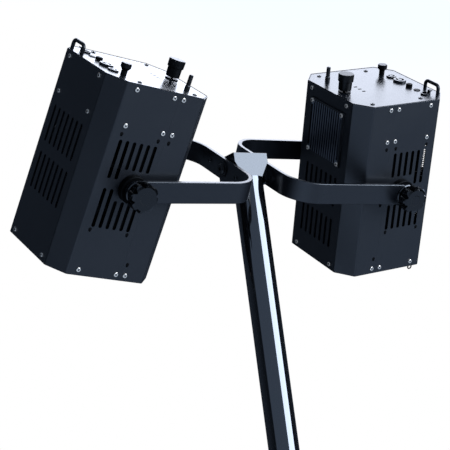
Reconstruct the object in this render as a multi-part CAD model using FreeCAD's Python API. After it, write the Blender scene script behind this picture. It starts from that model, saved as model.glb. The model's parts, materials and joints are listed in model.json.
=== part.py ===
import FreeCAD, Part
import math
import os
from FreeCAD import Placement, Rotation, Vector

# Twin-head stage projector on a mast. Two identical box-shaped projector heads hang in U-shaped
# yokes, and the yokes are bolted back to back to a block on top of a round mast.
# Origin: centre of the base plate's underside. +Z up, +X towards the right-hand head,
# -Y the front. All lengths are in millimetres and all angles in degrees.

# Fits
FACE_GAP = 0.3              # between faces of two pieces that move past each other
RUNNING = 0.08              # radial clearance of a shaft that turns in its hole
LOOSE = 0.3                 # radial clearance of a fixed piece in its hole

# Mast and base
AXIS_HEIGHT = 1250.0        # floor to the axis that the yokes swivel about
MAST_DIAMETER = 57.0
MAST_WALL = 3.0
BASE_SIDE = 340.0
BASE_THICKNESS = 12.0
BASE_CORNER = 24.0
BASE_EDGE = 2.0
ANCHOR_SPACING = 270.0
ANCHOR_HOLE = 14.0
GUSSET_HEIGHT = 80.0
GUSSET_REACH = 60.0
GUSSET_THICKNESS = 8.0
GUSSET_TOE = 14.0

# Block on top of the mast: a shield-shaped face, front and back
BLOCK_SIDE_WALL = 9.6
BLOCK_FACE_WALL = 3.0
BLOCK_ABOVE = 24.6          # swivel axis to the block's top
BLOCK_SHOULDER = 7.1        # where the sides start to draw in
BLOCK_BELOW = 22.1          # swivel axis to the block's foot
BLOCK_FOOT = 42.0           # width at the foot
SWIVEL_SETBACK = 11.0       # swivel axis behind the mast's axis
SPIGOT_LENGTH = 60.0        # plug under the block that fills the mast's end
CHEEK_HALF_DEPTH = 27.0     # side cheeks that the yokes swivel against
CHEEK_BELOW = 32.0

# Yokes
YOKE_ROLL = 35.0            # how far the yokes are swivelled from level
BAR_HEIGHT = 40.0
BAR_THICKNESS = 8.0
BAR_BEND = 60.0             # outer radius of the two bends
BAR_EDGE = 0.8
SWING_CLEARANCE = 13.7      # between the swinging head and the yoke's base
SWIVEL_BOLT = 12.0
SWIVEL_HEAD_RISE = 4.0
SWIVEL_WASHER = 30.0
WASHER_THICKNESS = 2.5
SIDE_SCREW = 5.0
SIDE_SCREW_SPACING = 96.0

# Head: the origin is the case's datum, just above the tilt axis, and -x is the intake side
HEAD_TILT = -8.6            # rest tilt about the pivots, tops towards the mast
HEAD_WIDTH = 220.0          # along the tilt axis
PIVOT_TO_INTAKE = 113.0
PIVOT_TO_OUTER = 100.0
PIVOT_DROP = 4.0            # tilt axis below the datum
DATUM_TO_TOP = 178.0
HEAD_HEIGHT = 354.0
CORNER_X = 28.0             # size of the four sloping corners, in plan
CORNER_Y = 33.0
SHEET = 2.0
BEND_RADIUS = 5.0           # outside radius of the folds in the sheet
SEAM_X = -35.5              # where the two folded shells meet
SEAM_GAP = 0.1
PLATE = 2.5                 # end plates
SCREW_HEAD = 8.2
SCREW_SHANK = 4.2

# Pivots
PIVOT_STUD = 12.0
DISC_RADIUS = 26.0
DISC_THICKNESS = 13.4
KNOB_RADIUS = 27.5          # star knob, over its lobes
KNOB_LOBES = 8
KNOB_LOBE_RADIUS = 6.6
KNOB_FLANGE = 0.8           # flange at its foot, as a share of the radius
KNOB_FLANGE_RISE = 4.0
KNOB_NECK = 12.0
KNOB_THICKNESS = 20.0

# Ventilation
SLOT_WIDTH = 7.0
SIDE_SLOT_PITCH = 14.3
SIDE_SLOTS = 6
SIDE_SLOT_FIRST_X = -21.0
SIDE_SLOT_REACH = 78.0      # pivot to the far ends of both rows
SIDE_SLOT_NEAR = 27.0       # pivot to the near ends beside the pivot disc
SIDE_SLOT_CLOSE = 7.0       # the same, for the two slots clear of the disc
OUTER_SLOTS = 7
OUTER_SLOT_PITCH = 18.0
OUTER_SLOT_REACH = 78.0
OUTER_SLOT_NEAR = 10.0
INTAKE_SLOTS = 7
INTAKE_SLOT_PITCH = 16.4
INTAKE_SLOT_TOP = 17.0
INTAKE_SLOT_WEB = 26.0
INTAKE_SLOT_FOOT = 44.0     # above the head's bottom edge

# Fan and filter grille
FAN_Z = 96.0
FAN_SIZE = 92.0
FAN_DEPTH = 25.0
FAN_BORE = 43.0
FAN_TIP_GAP = 1.5
FAN_HUB = 18.0
BLADE = 2.4
BLADE_GAP = 0.6             # blade root to the tip circle
BLADE_PITCH = 38.0
FAN_SHAFT = 2.0
FAN_BLADES = 7
GRILLE_SIDE = 112.0
GRILLE_DEPTH = 3.0
GRILLE_FINS = 13
GRILLE_FIN = 3.2
GRILLE_RIM = 4.0            # border of the grille round its opening
GRILLE_BOSS = 8.0           # radius of the corner bosses that take the screws

# Optics, from the bottom upwards
OPTIC_X = -6.5
BARREL_RADIUS = 60.0
BARREL_WALL = 4.0
GLASS_THICKNESS = 4.0
GLASS_LEDGE = 6.0
BOARD_Z = -54.0             # underside of the heat sink, where the light board sits
BOARD_RADIUS = 44.0
BOARD_THICKNESS = 1.6
LENS_DROP = 40.0            # light board to the lens
LENS_EDGE = 4.0
LENS_CROWN = 16.0
SINK_BASE = 8.0
SINK_DEPTH = 150.0
SINK_FIN_HEIGHT = 58.0
SINK_FIN = 2.0
SINK_FINS = 15

# Chassis and power supply
STRAP_WIDTH = 48.0
STRAP = 3.0
STRAP_GAP = 3.0             # strap to the shell's inner face
SHELF_Z = 26.0
SHELF_HALF_X = 70.0
SUPPLY_LENGTH = 120.0
SUPPLY_WIDTH = 90.0
SUPPLY_HEIGHT = 100.0

# Fittings on the top plate: places are (x, y) from the pivot axis
FOCUS_XY = (-85.0, -10.0)
FOCUS_RADIUS = 15.5
FOCUS_HEIGHT = 32.5
FOCUS_NECK = 4.8
GROOVES = 36                # grip grooves round the focus knob
GROOVE_RADIUS = 0.75
SMALL_KNOB_XY = (56.0, 60.0)
SMALL_KNOB_RADIUS = 9.5
SMALL_KNOB_HEIGHT = 22.0
SMALL_KNOB_CAP = 8.0
ANTENNA_XY = (-76.0, 62.0)
ANTENNA_RADIUS = 4.0
ANTENNA_HEIGHT = 28.0
ANTENNA_COLLAR = 7.0
HANDLE_X = 88.0
HANDLE_Y = (-82.0, -42.0)
HANDLE_BAR = 3.5
HANDLE_RISE = 17.5
POWER_XY = (65.0, 11.0)
POWER_RADIUS = 13.0
POWER_RISE = 4.5
OUTLET_XY = (66.5, 41.0)
OUTLET_RADIUS = 10.0
OUTLET_RISE = 3.0
SOCKET_DEPTH = 24.0         # body of a power socket below the plate's face
SOCKET_RECESS = 14.0
SOCKET_NECK = 0.8           # part of a socket's radius that passes through the plate
SOCKET_EDGE = 0.8
DATA_XY = (63.5, -74.0)
DATA_RADIUS = 9.0
DATA_RISE = 3.0
DATA_DEPTH = 18.0
DATA_RECESS = 10.0
PIN_RADIUS = 1.2
PIN_LENGTH = 8.0
LATCH_HALF = 3.5            # half width of the release latch
LATCH_RISE = 8.0
LATCH_BASE = 1.5
LATCH_HOOK = 5.0
LATCH_LIP = 2.0
FUSE_XY = (62.0, -24.0)
FUSE_RADIUS = 6.5
FUSE_RISE = 6.5
FUSE_DEPTH = 20.0
FUSE_SLOT = 1.4
PLUG_XY = (64.0, -47.0)
PLUG_RADIUS = 7.0
PLUG_RISE = 1.2
BUSH_RISE = 1.6
FITTING_NECK = 0.7          # part of a small fitting's radius that passes through the plate
FITTING_DEPTH = 6.0         # small fitting below the sheet
WINDOW_SINK = 1.6
WINDOWS_XY = ((-45.0, 9.0), (-45.0, -5.0), (-45.0, -19.0))
WINDOW_SIZE = (8.0, 5.0)
SAFETY_EYE_X = 58.0         # safety eye under the bottom plate
SAFETY_EYE_INSET = 7.0      # from the case's side face
EYE_RADIUS = 4.2
EYE_BAR = 1.3

# Picking edges of a shape
ALONG = 0.9                 # least share of an edge's direction that counts as along an axis
NEAR = 0.1                  # how close an edge lies to the face it is looked for on

# Worked out from the sizes above
UP = Vector(0, 0, 1)
AWAY = Vector(0, 1, 0)
OUTWARD = Vector(1, 0, 0)
CENTRE = Vector(0, 0, 0)
HALF_WIDTH = HEAD_WIDTH / 2
TOP = DATUM_TO_TOP
BOTTOM = DATUM_TO_TOP - HEAD_HEIGHT
SHELL_TOP = TOP - PLATE
SHELL_BOTTOM = BOTTOM + PLATE
FLAT_HALF_Y = HALF_WIDTH - CORNER_Y
BLOCK_HALF_X = MAST_DIAMETER / 2 + BLOCK_SIDE_WALL
BLOCK_HALF_Y = MAST_DIAMETER / 2 + BLOCK_FACE_WALL
CHEEK_INSIDE = MAST_DIAMETER / 2 + RUNNING
YOKE_BACK = BLOCK_HALF_X + FACE_GAP
YOKE_INSIDE = YOKE_BACK + BAR_THICKNESS
ARM_INSIDE = HALF_WIDTH + DISC_THICKNESS + FACE_GAP
ARM_OUTSIDE = ARM_INSIDE + BAR_THICKNESS
FOCUS_CREST = TOP + PIVOT_DROP + FOCUS_NECK + FOCUS_HEIGHT
SWING_RADIUS = math.hypot(FOCUS_RADIUS - FOCUS_XY[0], FOCUS_CREST)
PIVOT_X = YOKE_INSIDE + SWING_RADIUS + SWING_CLEARANCE
STRAP_OUTSIDE = HALF_WIDTH - SHEET - STRAP_GAP
STRAP_INSIDE = STRAP_OUTSIDE - STRAP
GLASS_Z = BOTTOM + PLATE
BARREL_Z = GLASS_Z + GLASS_THICKNESS
SIDE_SCREW_X = (SEAM_X - 9.5, SEAM_X + 9.5, PIVOT_TO_OUTER - CORNER_X - 21.0)
SCREW_Z = (TOP - 10.0, FAN_Z + 7.0, BOTTOM + 11.0)
END_SCREW_Y = FLAT_HALF_Y - 18.0
SPARE_HOLES = ((-44.0, 86.0), (-22.0, 86.0), (53.0, 86.0), (-43.0, -30.0), (-22.0, -91.0), (54.0, -91.0),
               (-43.0, -146.0))
SPARE_HOLE = 5.2            # diameter of an unused hole
GRILLE_SCREW = GRILLE_SIDE / 2 - 6.0
TOP_SCREWS_X = (-76.0, 39.0)
TOP_SCREW_Y = HALF_WIDTH - 19.0
BEZEL_SCREWS_X = (-76.0, 57.0)
BEZEL_SCREW_Y = HALF_WIDTH - 14.0


def block(x, y, z):
    """Box between pairs of x, y and z."""
    return Part.makeBox(x[1] - x[0], y[1] - y[0], z[1] - z[0], Vector(x[0], y[0], z[0]))


def rod(radius, start, length, direction=UP):
    return Part.makeCylinder(radius, length, start, direction)


def tube(outer, inner, start, length, direction=UP):
    return rod(outer, start, length, direction).cut(rod(inner, start, length, direction))


def prism(points, low, high):
    """Outline in plan, drawn up from one height to another."""
    corners = [Vector(x, y, low) for x, y in points]
    return Part.Face(Part.makePolygon(corners + corners[:1])).extrude(Vector(0, 0, high - low))


def turned(profile):
    """Solid of revolution about +Z from (radius, height) corners that start and end on the axis."""
    corners = [Vector(r, 0, z) for r, z in profile]
    face = Part.Face(Part.makePolygon(corners + corners[:1]))
    return face.revolve(CENTRE, UP, 360)


def hexagon(across_flats, low, high):
    radius = across_flats / math.sqrt(3)
    turns = [math.radians(60 * i) for i in range(6)]
    return prism([(radius * math.cos(a), radius * math.sin(a)) for a in turns], low, high)


def stand(shape, place, direction):
    """Move a piece drawn along +Z so that its origin is at place and it points along direction."""
    moved = shape.copy()
    moved.Placement = Placement(place, Rotation(UP, direction))
    return moved


def group(solids):
    return Part.makeCompound(solids)


def slot_outline(across, low, high, width):
    """Upright slot with round ends, as a face in the plane y = 0."""
    half = width / 2
    left_foot = Vector(across - half, 0, low + half)
    left_head = Vector(across - half, 0, high - half)
    right_head = Vector(across + half, 0, high - half)
    right_foot = Vector(across + half, 0, low + half)
    edges = [Part.LineSegment(left_foot, left_head).toShape(),
             Part.Arc(left_head, Vector(across, 0, high), right_head).toShape(),
             Part.LineSegment(right_head, right_foot).toShape(),
             Part.Arc(right_foot, Vector(across, 0, low), left_foot).toShape()]
    return Part.Face(Part.Wire(edges))


def side_cutter(face):
    """Carry an outline right through both side walls."""
    reach = HALF_WIDTH + SHEET
    return face.translated(Vector(0, -reach, 0)).extrude(Vector(0, 2 * reach, 0))


def end_cutter(face, wall_x):
    """Turn an outline to face along x and carry it through the wall at wall_x."""
    turned_face = face.copy()
    turned_face.rotate(CENTRE, UP, 90)
    return turned_face.translated(Vector(wall_x - 2 * SHEET, 0, 0)).extrude(Vector(4 * SHEET, 0, 0))


# Mast

def base_plate():
    half = BASE_SIDE / 2
    plate = block((-half, half), (-half, half), (0, BASE_THICKNESS))
    upright = [e for e in plate.Edges if abs(e.tangentAt(e.FirstParameter).z) > ALONG]
    plate = plate.makeFillet(BASE_CORNER, upright)
    top_edges = [e for e in plate.Edges if e.BoundBox.ZMin > BASE_THICKNESS - NEAR]
    plate = plate.makeChamfer(BASE_EDGE, top_edges)
    offset = ANCHOR_SPACING / 2
    holes = [rod(ANCHOR_HOLE / 2, Vector(x, y, 0), BASE_THICKNESS)
             for x in (-offset, offset) for y in (-offset, offset)]
    cable_way = rod(MAST_DIAMETER / 2 - MAST_WALL, CENTRE, BASE_THICKNESS)
    return plate.cut(holes + [cable_way])


def base_gussets():
    """Four ribs welded between the mast and the base plate."""
    half = GUSSET_THICKNESS / 2
    radius = MAST_DIAMETER / 2
    inner = radius - 4.0
    outer = radius + GUSSET_REACH
    low = BASE_THICKNESS
    high = BASE_THICKNESS + GUSSET_HEIGHT
    outline = [(inner, low), (outer, low), (outer, low + GUSSET_TOE),
               (radius + GUSSET_TOE, high), (inner, high)]
    corners = [Vector(x, -half, z) for x, z in outline]
    rib = Part.Face(Part.makePolygon(corners + corners[:1])).extrude(Vector(0, GUSSET_THICKNESS, 0))
    rib = rib.cut(rod(radius, CENTRE, AXIS_HEIGHT))
    return group([rib.rotated(CENTRE, UP, 45 + 90 * i) for i in range(4)])


def mast_tube():
    radius = MAST_DIAMETER / 2
    length = AXIS_HEIGHT - BLOCK_BELOW - BASE_THICKNESS
    return tube(radius, radius - MAST_WALL, Vector(0, 0, BASE_THICKNESS), length)


def swivel_bolt():
    """Bolt and washer that each yoke swivels on, drawn along +Z from the yoke's inside face."""
    seat = FACE_GAP + WASHER_THICKNESS
    reach = BAR_THICKNESS + FACE_GAP + BLOCK_SIDE_WALL - LOOSE
    washer = tube(SWIVEL_WASHER / 2, SWIVEL_BOLT / 2 + LOOSE, Vector(0, 0, FACE_GAP), WASHER_THICKNESS)
    crest = seat + SWIVEL_HEAD_RISE
    head = turned([(0, seat), (0.9 * SWIVEL_BOLT, seat), (0.9 * SWIVEL_BOLT, seat + 0.4 * SWIVEL_HEAD_RISE),
                   (0.7 * SWIVEL_BOLT, crest), (0, crest)])
    shank = rod(SWIVEL_BOLT / 2, Vector(0, 0, -reach), reach + seat)
    socket = hexagon(0.6 * SWIVEL_BOLT, seat, crest)
    return group([head.fuse(shank).cut(socket).removeSplitter(), washer])


def swivel_bolts():
    axis = Vector(0, SWIVEL_SETBACK, AXIS_HEIGHT)
    return group([stand(swivel_bolt(), axis + OUTWARD * YOKE_INSIDE, OUTWARD),
                  stand(swivel_bolt(), axis - OUTWARD * YOKE_INSIDE, OUTWARD * -1)])


def mast_head():
    """Block with a shield-shaped face, two side cheeks and a spigot that plugs into the mast."""
    foot = BLOCK_FOOT / 2
    front = SWIVEL_SETBACK - BLOCK_HALF_Y
    outline = [(-BLOCK_HALF_X, BLOCK_ABOVE), (BLOCK_HALF_X, BLOCK_ABOVE), (BLOCK_HALF_X, BLOCK_SHOULDER),
               (foot, -BLOCK_BELOW), (-foot, -BLOCK_BELOW), (-BLOCK_HALF_X, BLOCK_SHOULDER)]
    corners = [Vector(x, front, AXIS_HEIGHT + z) for x, z in outline]
    shield = Part.Face(Part.makePolygon(corners + corners[:1])).extrude(AWAY * (2 * BLOCK_HALF_Y))
    shield = shield.makeChamfer(BAR_EDGE, [e for e in shield.Edges if e.BoundBox.YLength < NEAR])
    cheeks = [block(x, (SWIVEL_SETBACK - CHEEK_HALF_DEPTH, SWIVEL_SETBACK + CHEEK_HALF_DEPTH),
                    (AXIS_HEIGHT - CHEEK_BELOW, AXIS_HEIGHT + BLOCK_SHOULDER))
              for x in ((-BLOCK_HALF_X, -CHEEK_INSIDE), (CHEEK_INSIDE, BLOCK_HALF_X))]
    spigot_foot = AXIS_HEIGHT - BLOCK_BELOW - SPIGOT_LENGTH
    spigot = rod(MAST_DIAMETER / 2 - MAST_WALL - RUNNING, Vector(0, 0, spigot_foot), SPIGOT_LENGTH + 1)
    bolt_hole = rod(SWIVEL_BOLT / 2 + RUNNING, Vector(-BLOCK_HALF_X, SWIVEL_SETBACK, AXIS_HEIGHT),
                    2 * BLOCK_HALF_X, OUTWARD)
    return shield.fuse(cheeks + [spigot]).removeSplitter().cut(bolt_hole)


# Yoke, drawn level: the swivel axis is +X and the tilt axis is parallel to Y at PIVOT_X

def bent_outline(back, side, radius):
    """U in plan: a flat base at x = back, round bends, and arms at y = -side and +side."""
    tip = PIVOT_X + BAR_HEIGHT
    rise = radius * math.sin(math.radians(45))
    low_bend = Vector(back + radius - rise, -side + radius - rise, 0)
    high_bend = Vector(back + radius - rise, side - radius + rise, 0)
    points = [Vector(tip, -side, 0), Vector(back + radius, -side, 0), Vector(back, -side + radius, 0),
              Vector(back, side - radius, 0), Vector(back + radius, side, 0), Vector(tip, side, 0)]
    edges = [Part.LineSegment(points[0], points[1]).toShape(),
             Part.Arc(points[1], low_bend, points[2]).toShape(),
             Part.LineSegment(points[2], points[3]).toShape(),
             Part.Arc(points[3], high_bend, points[4]).toShape(),
             Part.LineSegment(points[4], points[5]).toShape(),
             Part.LineSegment(points[5], points[0]).toShape()]
    return Part.Face(Part.Wire(edges))


def yoke_bar():
    half = BAR_HEIGHT / 2
    outside = bent_outline(YOKE_BACK, ARM_OUTSIDE, BAR_BEND)
    inside = bent_outline(YOKE_INSIDE, ARM_INSIDE, BAR_BEND - BAR_THICKNESS)
    bar = outside.cut(inside).translated(UP * -half).extrude(UP * BAR_HEIGHT)
    square_part = block((YOKE_BACK, PIVOT_X), (-ARM_OUTSIDE, ARM_OUTSIDE), (-half, half))
    round_ends = rod(half, Vector(PIVOT_X, -ARM_OUTSIDE, 0), 2 * ARM_OUTSIDE, AWAY)
    bar = bar.common(square_part.fuse(round_ends)).removeSplitter()
    rims = [e for e in bar.Edges
            if e.BoundBox.ZLength < NEAR and abs(abs(e.BoundBox.ZMin) - half) < NEAR
            and (e.BoundBox.XLength > BAR_THICKNESS or e.BoundBox.YLength > BAR_THICKNESS + 1)]
    bar = bar.makeChamfer(BAR_EDGE, rims)
    swivel_hole = rod(SWIVEL_BOLT / 2 + RUNNING, Vector(YOKE_BACK, 0, 0), BAR_THICKNESS, OUTWARD)
    side_holes = [rod(SIDE_SCREW / 2 + LOOSE, Vector(YOKE_BACK, y, 0), BAR_THICKNESS, OUTWARD)
                  for y in (-SIDE_SCREW_SPACING / 2, SIDE_SCREW_SPACING / 2)]
    pivot_hole = rod(PIVOT_STUD / 2 + RUNNING, Vector(PIVOT_X, -ARM_OUTSIDE, 0), 2 * ARM_OUTSIDE, AWAY)
    return bar.cut([swivel_hole, pivot_hole] + side_holes)


def yoke_screws():
    """Button-head screw and nut in each of the two side holes of the yoke's base."""
    radius = SIDE_SCREW / 2
    reach = BAR_THICKNESS + 0.9 * SIDE_SCREW
    head = turned([(0, 0), (1.75 * radius, 0), (1.75 * radius, 0.4 * radius),
                   (1.3 * radius, radius), (0, radius)])
    shank = rod(radius, Vector(0, 0, -reach), reach)
    screw = head.fuse(shank).cut(hexagon(1.25 * radius, 0.4 * radius, radius)).removeSplitter()
    nut = hexagon(1.625 * SIDE_SCREW, -BAR_THICKNESS - 0.8 * SIDE_SCREW, -BAR_THICKNESS)
    nut = nut.cut(rod(radius, Vector(0, 0, -reach), reach))
    solids = []
    for y in (-SIDE_SCREW_SPACING / 2, SIDE_SCREW_SPACING / 2):
        place = Vector(YOKE_INSIDE, y, 0)
        solids += [stand(screw, place, OUTWARD), stand(nut, place, OUTWARD)]
    return group(solids)


# Head, drawn upright about its own tilt axis

def case_outline(inset):
    """Plan of the case: a box with four sloping corners, brought in by inset all round."""
    slope = math.hypot(CORNER_X, CORNER_Y)
    x_cut = inset * (slope - CORNER_X) / CORNER_Y
    y_cut = inset * (slope - CORNER_Y) / CORNER_X
    left = -PIVOT_TO_INTAKE + inset
    right = PIVOT_TO_OUTER - inset
    side = HALF_WIDTH - inset
    flat_y = FLAT_HALF_Y - x_cut
    left_flat = -PIVOT_TO_INTAKE + CORNER_X + y_cut
    right_flat = PIVOT_TO_OUTER - CORNER_X - y_cut
    return [(left, -flat_y), (left_flat, -side), (right_flat, -side), (right, -flat_y),
            (right, flat_y), (right_flat, side), (left_flat, side), (left, flat_y)]


def case_body(inset, low, high):
    """The case as a solid, brought in by inset, its upright folds rounded."""
    body = prism(case_outline(inset), low, high)
    folds = [e for e in body.Edges if abs(e.tangentAt(e.FirstParameter).z) > ALONG]
    return body.makeFillet(BEND_RADIUS - inset, folds)


def case_wall():
    """The whole wall of the case, before it is parted into two shells."""
    return case_body(0, SHELL_BOTTOM, SHELL_TOP).cut(case_body(SHEET, SHELL_BOTTOM, SHELL_TOP))


def side_slots():
    cutters = []
    for i in range(SIDE_SLOTS):
        x = SIDE_SLOT_FIRST_X + SIDE_SLOT_PITCH * i
        clear_of_disc = x > DISC_RADIUS + SLOT_WIDTH
        near = SIDE_SLOT_CLOSE if clear_of_disc else SIDE_SLOT_NEAR
        cutters.append(side_cutter(slot_outline(x, near, SIDE_SLOT_REACH, SLOT_WIDTH)))
        cutters.append(side_cutter(slot_outline(x, -SIDE_SLOT_REACH - 6, -near - 4, SLOT_WIDTH)))
    return cutters


def spread(count, pitch):
    """Places of count things at one pitch about zero."""
    return [pitch * (i - (count - 1) / 2) for i in range(count)]


def outer_slots():
    cutters = []
    for y in spread(OUTER_SLOTS, OUTER_SLOT_PITCH):
        for low in (OUTER_SLOT_NEAR, -OUTER_SLOT_REACH):
            face = slot_outline(y, low, low + OUTER_SLOT_REACH - OUTER_SLOT_NEAR, SLOT_WIDTH)
            cutters.append(end_cutter(face, PIVOT_TO_OUTER - SHEET / 2))
    return cutters


def intake_slots():
    foot = BOTTOM + INTAKE_SLOT_FOOT
    length = (INTAKE_SLOT_TOP - foot - INTAKE_SLOT_WEB) / 2
    cutters = []
    for y in spread(INTAKE_SLOTS, INTAKE_SLOT_PITCH):
        for low in (foot, INTAKE_SLOT_TOP - length):
            face = slot_outline(y, low, low + length, SLOT_WIDTH)
            cutters.append(end_cutter(face, -PIVOT_TO_INTAKE + SHEET / 2))
    return cutters


def screw_places():
    """Every screw of the case: where its head sits and which way it points."""
    places = []
    for side in (-1, 1):
        for x in SIDE_SCREW_X:
            for z in SCREW_Z:
                places.append((Vector(x, side * HALF_WIDTH, z), AWAY * side))
        for z in SCREW_Z:
            places.append((Vector(PIVOT_TO_OUTER, side * END_SCREW_Y, z), OUTWARD))
        for z in (SCREW_Z[0], SCREW_Z[2]):
            places.append((Vector(-PIVOT_TO_INTAKE, side * END_SCREW_Y, z), OUTWARD * -1))
        for z in (FAN_Z - GRILLE_SCREW, FAN_Z + GRILLE_SCREW):
            place = Vector(-PIVOT_TO_INTAKE - GRILLE_DEPTH, side * GRILLE_SCREW, z)
            places.append((place, OUTWARD * -1))
        for x in TOP_SCREWS_X:
            places.append((Vector(x, side * TOP_SCREW_Y, TOP), UP))
        for x in BEZEL_SCREWS_X:
            places.append((Vector(x, side * BEZEL_SCREW_Y, BOTTOM), UP * -1))
    return places


def screw_holes():
    reach = GRILLE_DEPTH + SHEET + PLATE
    return [rod(SCREW_SHANK / 2 + LOOSE, place - way * reach, 2 * reach, way)
            for place, way in screw_places()]


def panel_screws():
    """Button-head screws with a hexagon socket, all alike."""
    radius = SCREW_HEAD / 2
    length = 2 * SCREW_SHANK
    rim = Vector(radius, 0, 0.3 * radius)
    crown = Vector(0.88 * radius, 0, 0.42 * radius)
    edges = [Part.LineSegment(CENTRE, Vector(radius, 0, 0)).toShape(),
             Part.LineSegment(Vector(radius, 0, 0), rim).toShape(),
             Part.Arc(rim, Vector(0.96 * radius, 0, 0.38 * radius), crown).toShape(),
             Part.LineSegment(crown, Vector(0, 0, crown.z)).toShape(),
             Part.LineSegment(Vector(0, 0, crown.z), CENTRE).toShape()]
    head = Part.Face(Part.Wire(edges)).revolve(CENTRE, UP, 360)
    shank = rod(SCREW_SHANK / 2, Vector(0, 0, -length), length)
    screw = head.fuse(shank).cut(hexagon(0.84 * radius, -0.1 * radius, radius)).removeSplitter()
    return group([stand(screw, place, way) for place, way in screw_places()])


def shells():
    """Two folded shells that meet at the seam: one carries the intake, one the outer face."""
    spare = [rod(SPARE_HOLE / 2, Vector(x, -HALF_WIDTH - SHEET, z), HEAD_WIDTH + 2 * SHEET, AWAY)
             for x, z in SPARE_HOLES]
    pivot_start = Vector(0, -HALF_WIDTH - SHEET, -PIVOT_DROP)
    pivot = rod(PIVOT_STUD / 2 + LOOSE, pivot_start, HEAD_WIDTH + 2 * SHEET, AWAY)
    half = FAN_SIZE / 2
    window = block((-PIVOT_TO_INTAKE - SHEET, -PIVOT_TO_INTAKE + 2 * SHEET), (-half, half),
                   (FAN_Z - half, FAN_Z + half))
    wall = case_wall().cut(side_slots() + outer_slots() + intake_slots() + screw_holes()
                           + spare + [pivot, window])
    reach = HALF_WIDTH + SHEET
    left = block((-PIVOT_TO_INTAKE - SHEET, SEAM_X - SEAM_GAP / 2), (-reach, reach), (BOTTOM, TOP))
    right = block((SEAM_X + SEAM_GAP / 2, PIVOT_TO_OUTER + SHEET), (-reach, reach), (BOTTOM, TOP))
    return wall.common(left), wall.common(right)


def filter_grille():
    """Square frame over the fan with upright fins across its opening."""
    half = GRILLE_SIDE / 2
    opening = half - GRILLE_RIM
    front = -PIVOT_TO_INTAKE - GRILLE_DEPTH
    back = -PIVOT_TO_INTAKE
    frame = block((front, back), (-half, half), (FAN_Z - half, FAN_Z + half))
    upright = [e for e in frame.Edges if abs(e.tangentAt(e.FirstParameter).x) > ALONG]
    frame = frame.makeFillet(GRILLE_DEPTH, upright)
    frame = frame.cut(block((front, back), (-opening, opening), (FAN_Z - opening, FAN_Z + opening)))
    fins = [block((front, back), (y - GRILLE_FIN / 2, y + GRILLE_FIN / 2),
                  (FAN_Z - opening - 1, FAN_Z + opening + 1))
            for y in spread(GRILLE_FINS, 2 * opening / (GRILLE_FINS + 1))]
    bosses = [rod(GRILLE_BOSS, Vector(front, y, FAN_Z + z), GRILLE_DEPTH, OUTWARD)
              for y in (-GRILLE_SCREW, GRILLE_SCREW) for z in (-GRILLE_SCREW, GRILLE_SCREW)]
    outside = block((front, back), (-half, half), (FAN_Z - half, FAN_Z + half))
    inside = outside.common(group(bosses))
    return frame.fuse(fins + [inside]).removeSplitter().cut(screw_holes())


def top_plate():
    plate = case_body(0, SHELL_TOP, TOP)
    plate = plate.makeChamfer(0.5, [e for e in plate.Edges if e.BoundBox.ZMin > TOP - NEAR])
    holes = [(FOCUS_XY, FOCUS_NECK / 2), (SMALL_KNOB_XY, 0.4 * SMALL_KNOB_RADIUS),
             (ANTENNA_XY, FITTING_NECK * ANTENNA_RADIUS), (POWER_XY, SOCKET_NECK * POWER_RADIUS),
             (OUTLET_XY, SOCKET_NECK * OUTLET_RADIUS), (DATA_XY, SOCKET_NECK * DATA_RADIUS),
             (FUSE_XY, FITTING_NECK * FUSE_RADIUS), (PLUG_XY, FITTING_NECK * PLUG_RADIUS)]
    cutters = [rod(radius + RUNNING, Vector(x, y, SHELL_TOP), PLATE) for (x, y), radius in holes]
    cutters += [rod(HANDLE_BAR / 2 + RUNNING, Vector(HANDLE_X, y, SHELL_TOP), PLATE) for y in HANDLE_Y]
    for x, y in WINDOWS_XY:
        cutters.append(block((x - WINDOW_SIZE[0] / 2, x + WINDOW_SIZE[0] / 2),
                             (y - WINDOW_SIZE[1] / 2, y + WINDOW_SIZE[1] / 2), (SHELL_TOP, TOP)))
    return plate.cut(cutters + screw_holes())


def bottom_bezel():
    plate = case_body(0, BOTTOM, SHELL_BOTTOM)
    plate = plate.makeChamfer(0.5, [e for e in plate.Edges if e.BoundBox.ZMax < BOTTOM + NEAR])
    window = rod(BARREL_RADIUS - GLASS_LEDGE, Vector(OPTIC_X, 0, BOTTOM), PLATE)
    return plate.cut([window] + screw_holes())


def front_glass():
    return rod(BARREL_RADIUS, Vector(OPTIC_X, 0, GLASS_Z), GLASS_THICKNESS)


def lens_barrel():
    return tube(BARREL_RADIUS, BARREL_RADIUS - BARREL_WALL, Vector(OPTIC_X, 0, BARREL_Z), BOARD_Z - BARREL_Z)


def lens():
    """Plano-convex lens held in the barrel, its round face down."""
    radius = BARREL_RADIUS - BARREL_WALL
    depth = LENS_EDGE + LENS_CROWN
    foot = BOARD_Z - LENS_DROP - depth
    curve = (radius ** 2 + LENS_CROWN ** 2) / (2 * LENS_CROWN)
    ball = Part.makeSphere(curve, Vector(OPTIC_X, 0, foot + curve))
    return rod(radius, Vector(OPTIC_X, 0, foot), depth).common(ball)


def led_board():
    """Round light board with its square emitter, under the heat sink."""
    board = rod(BOARD_RADIUS, Vector(OPTIC_X, 0, BOARD_Z - BOARD_THICKNESS), BOARD_THICKNESS)
    half = BOARD_RADIUS / 4
    emitter_top = BOARD_Z - BOARD_THICKNESS
    emitter = block((OPTIC_X - half, OPTIC_X + half), (-half, half), (emitter_top - 2, emitter_top))
    return group([board, emitter])


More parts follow.
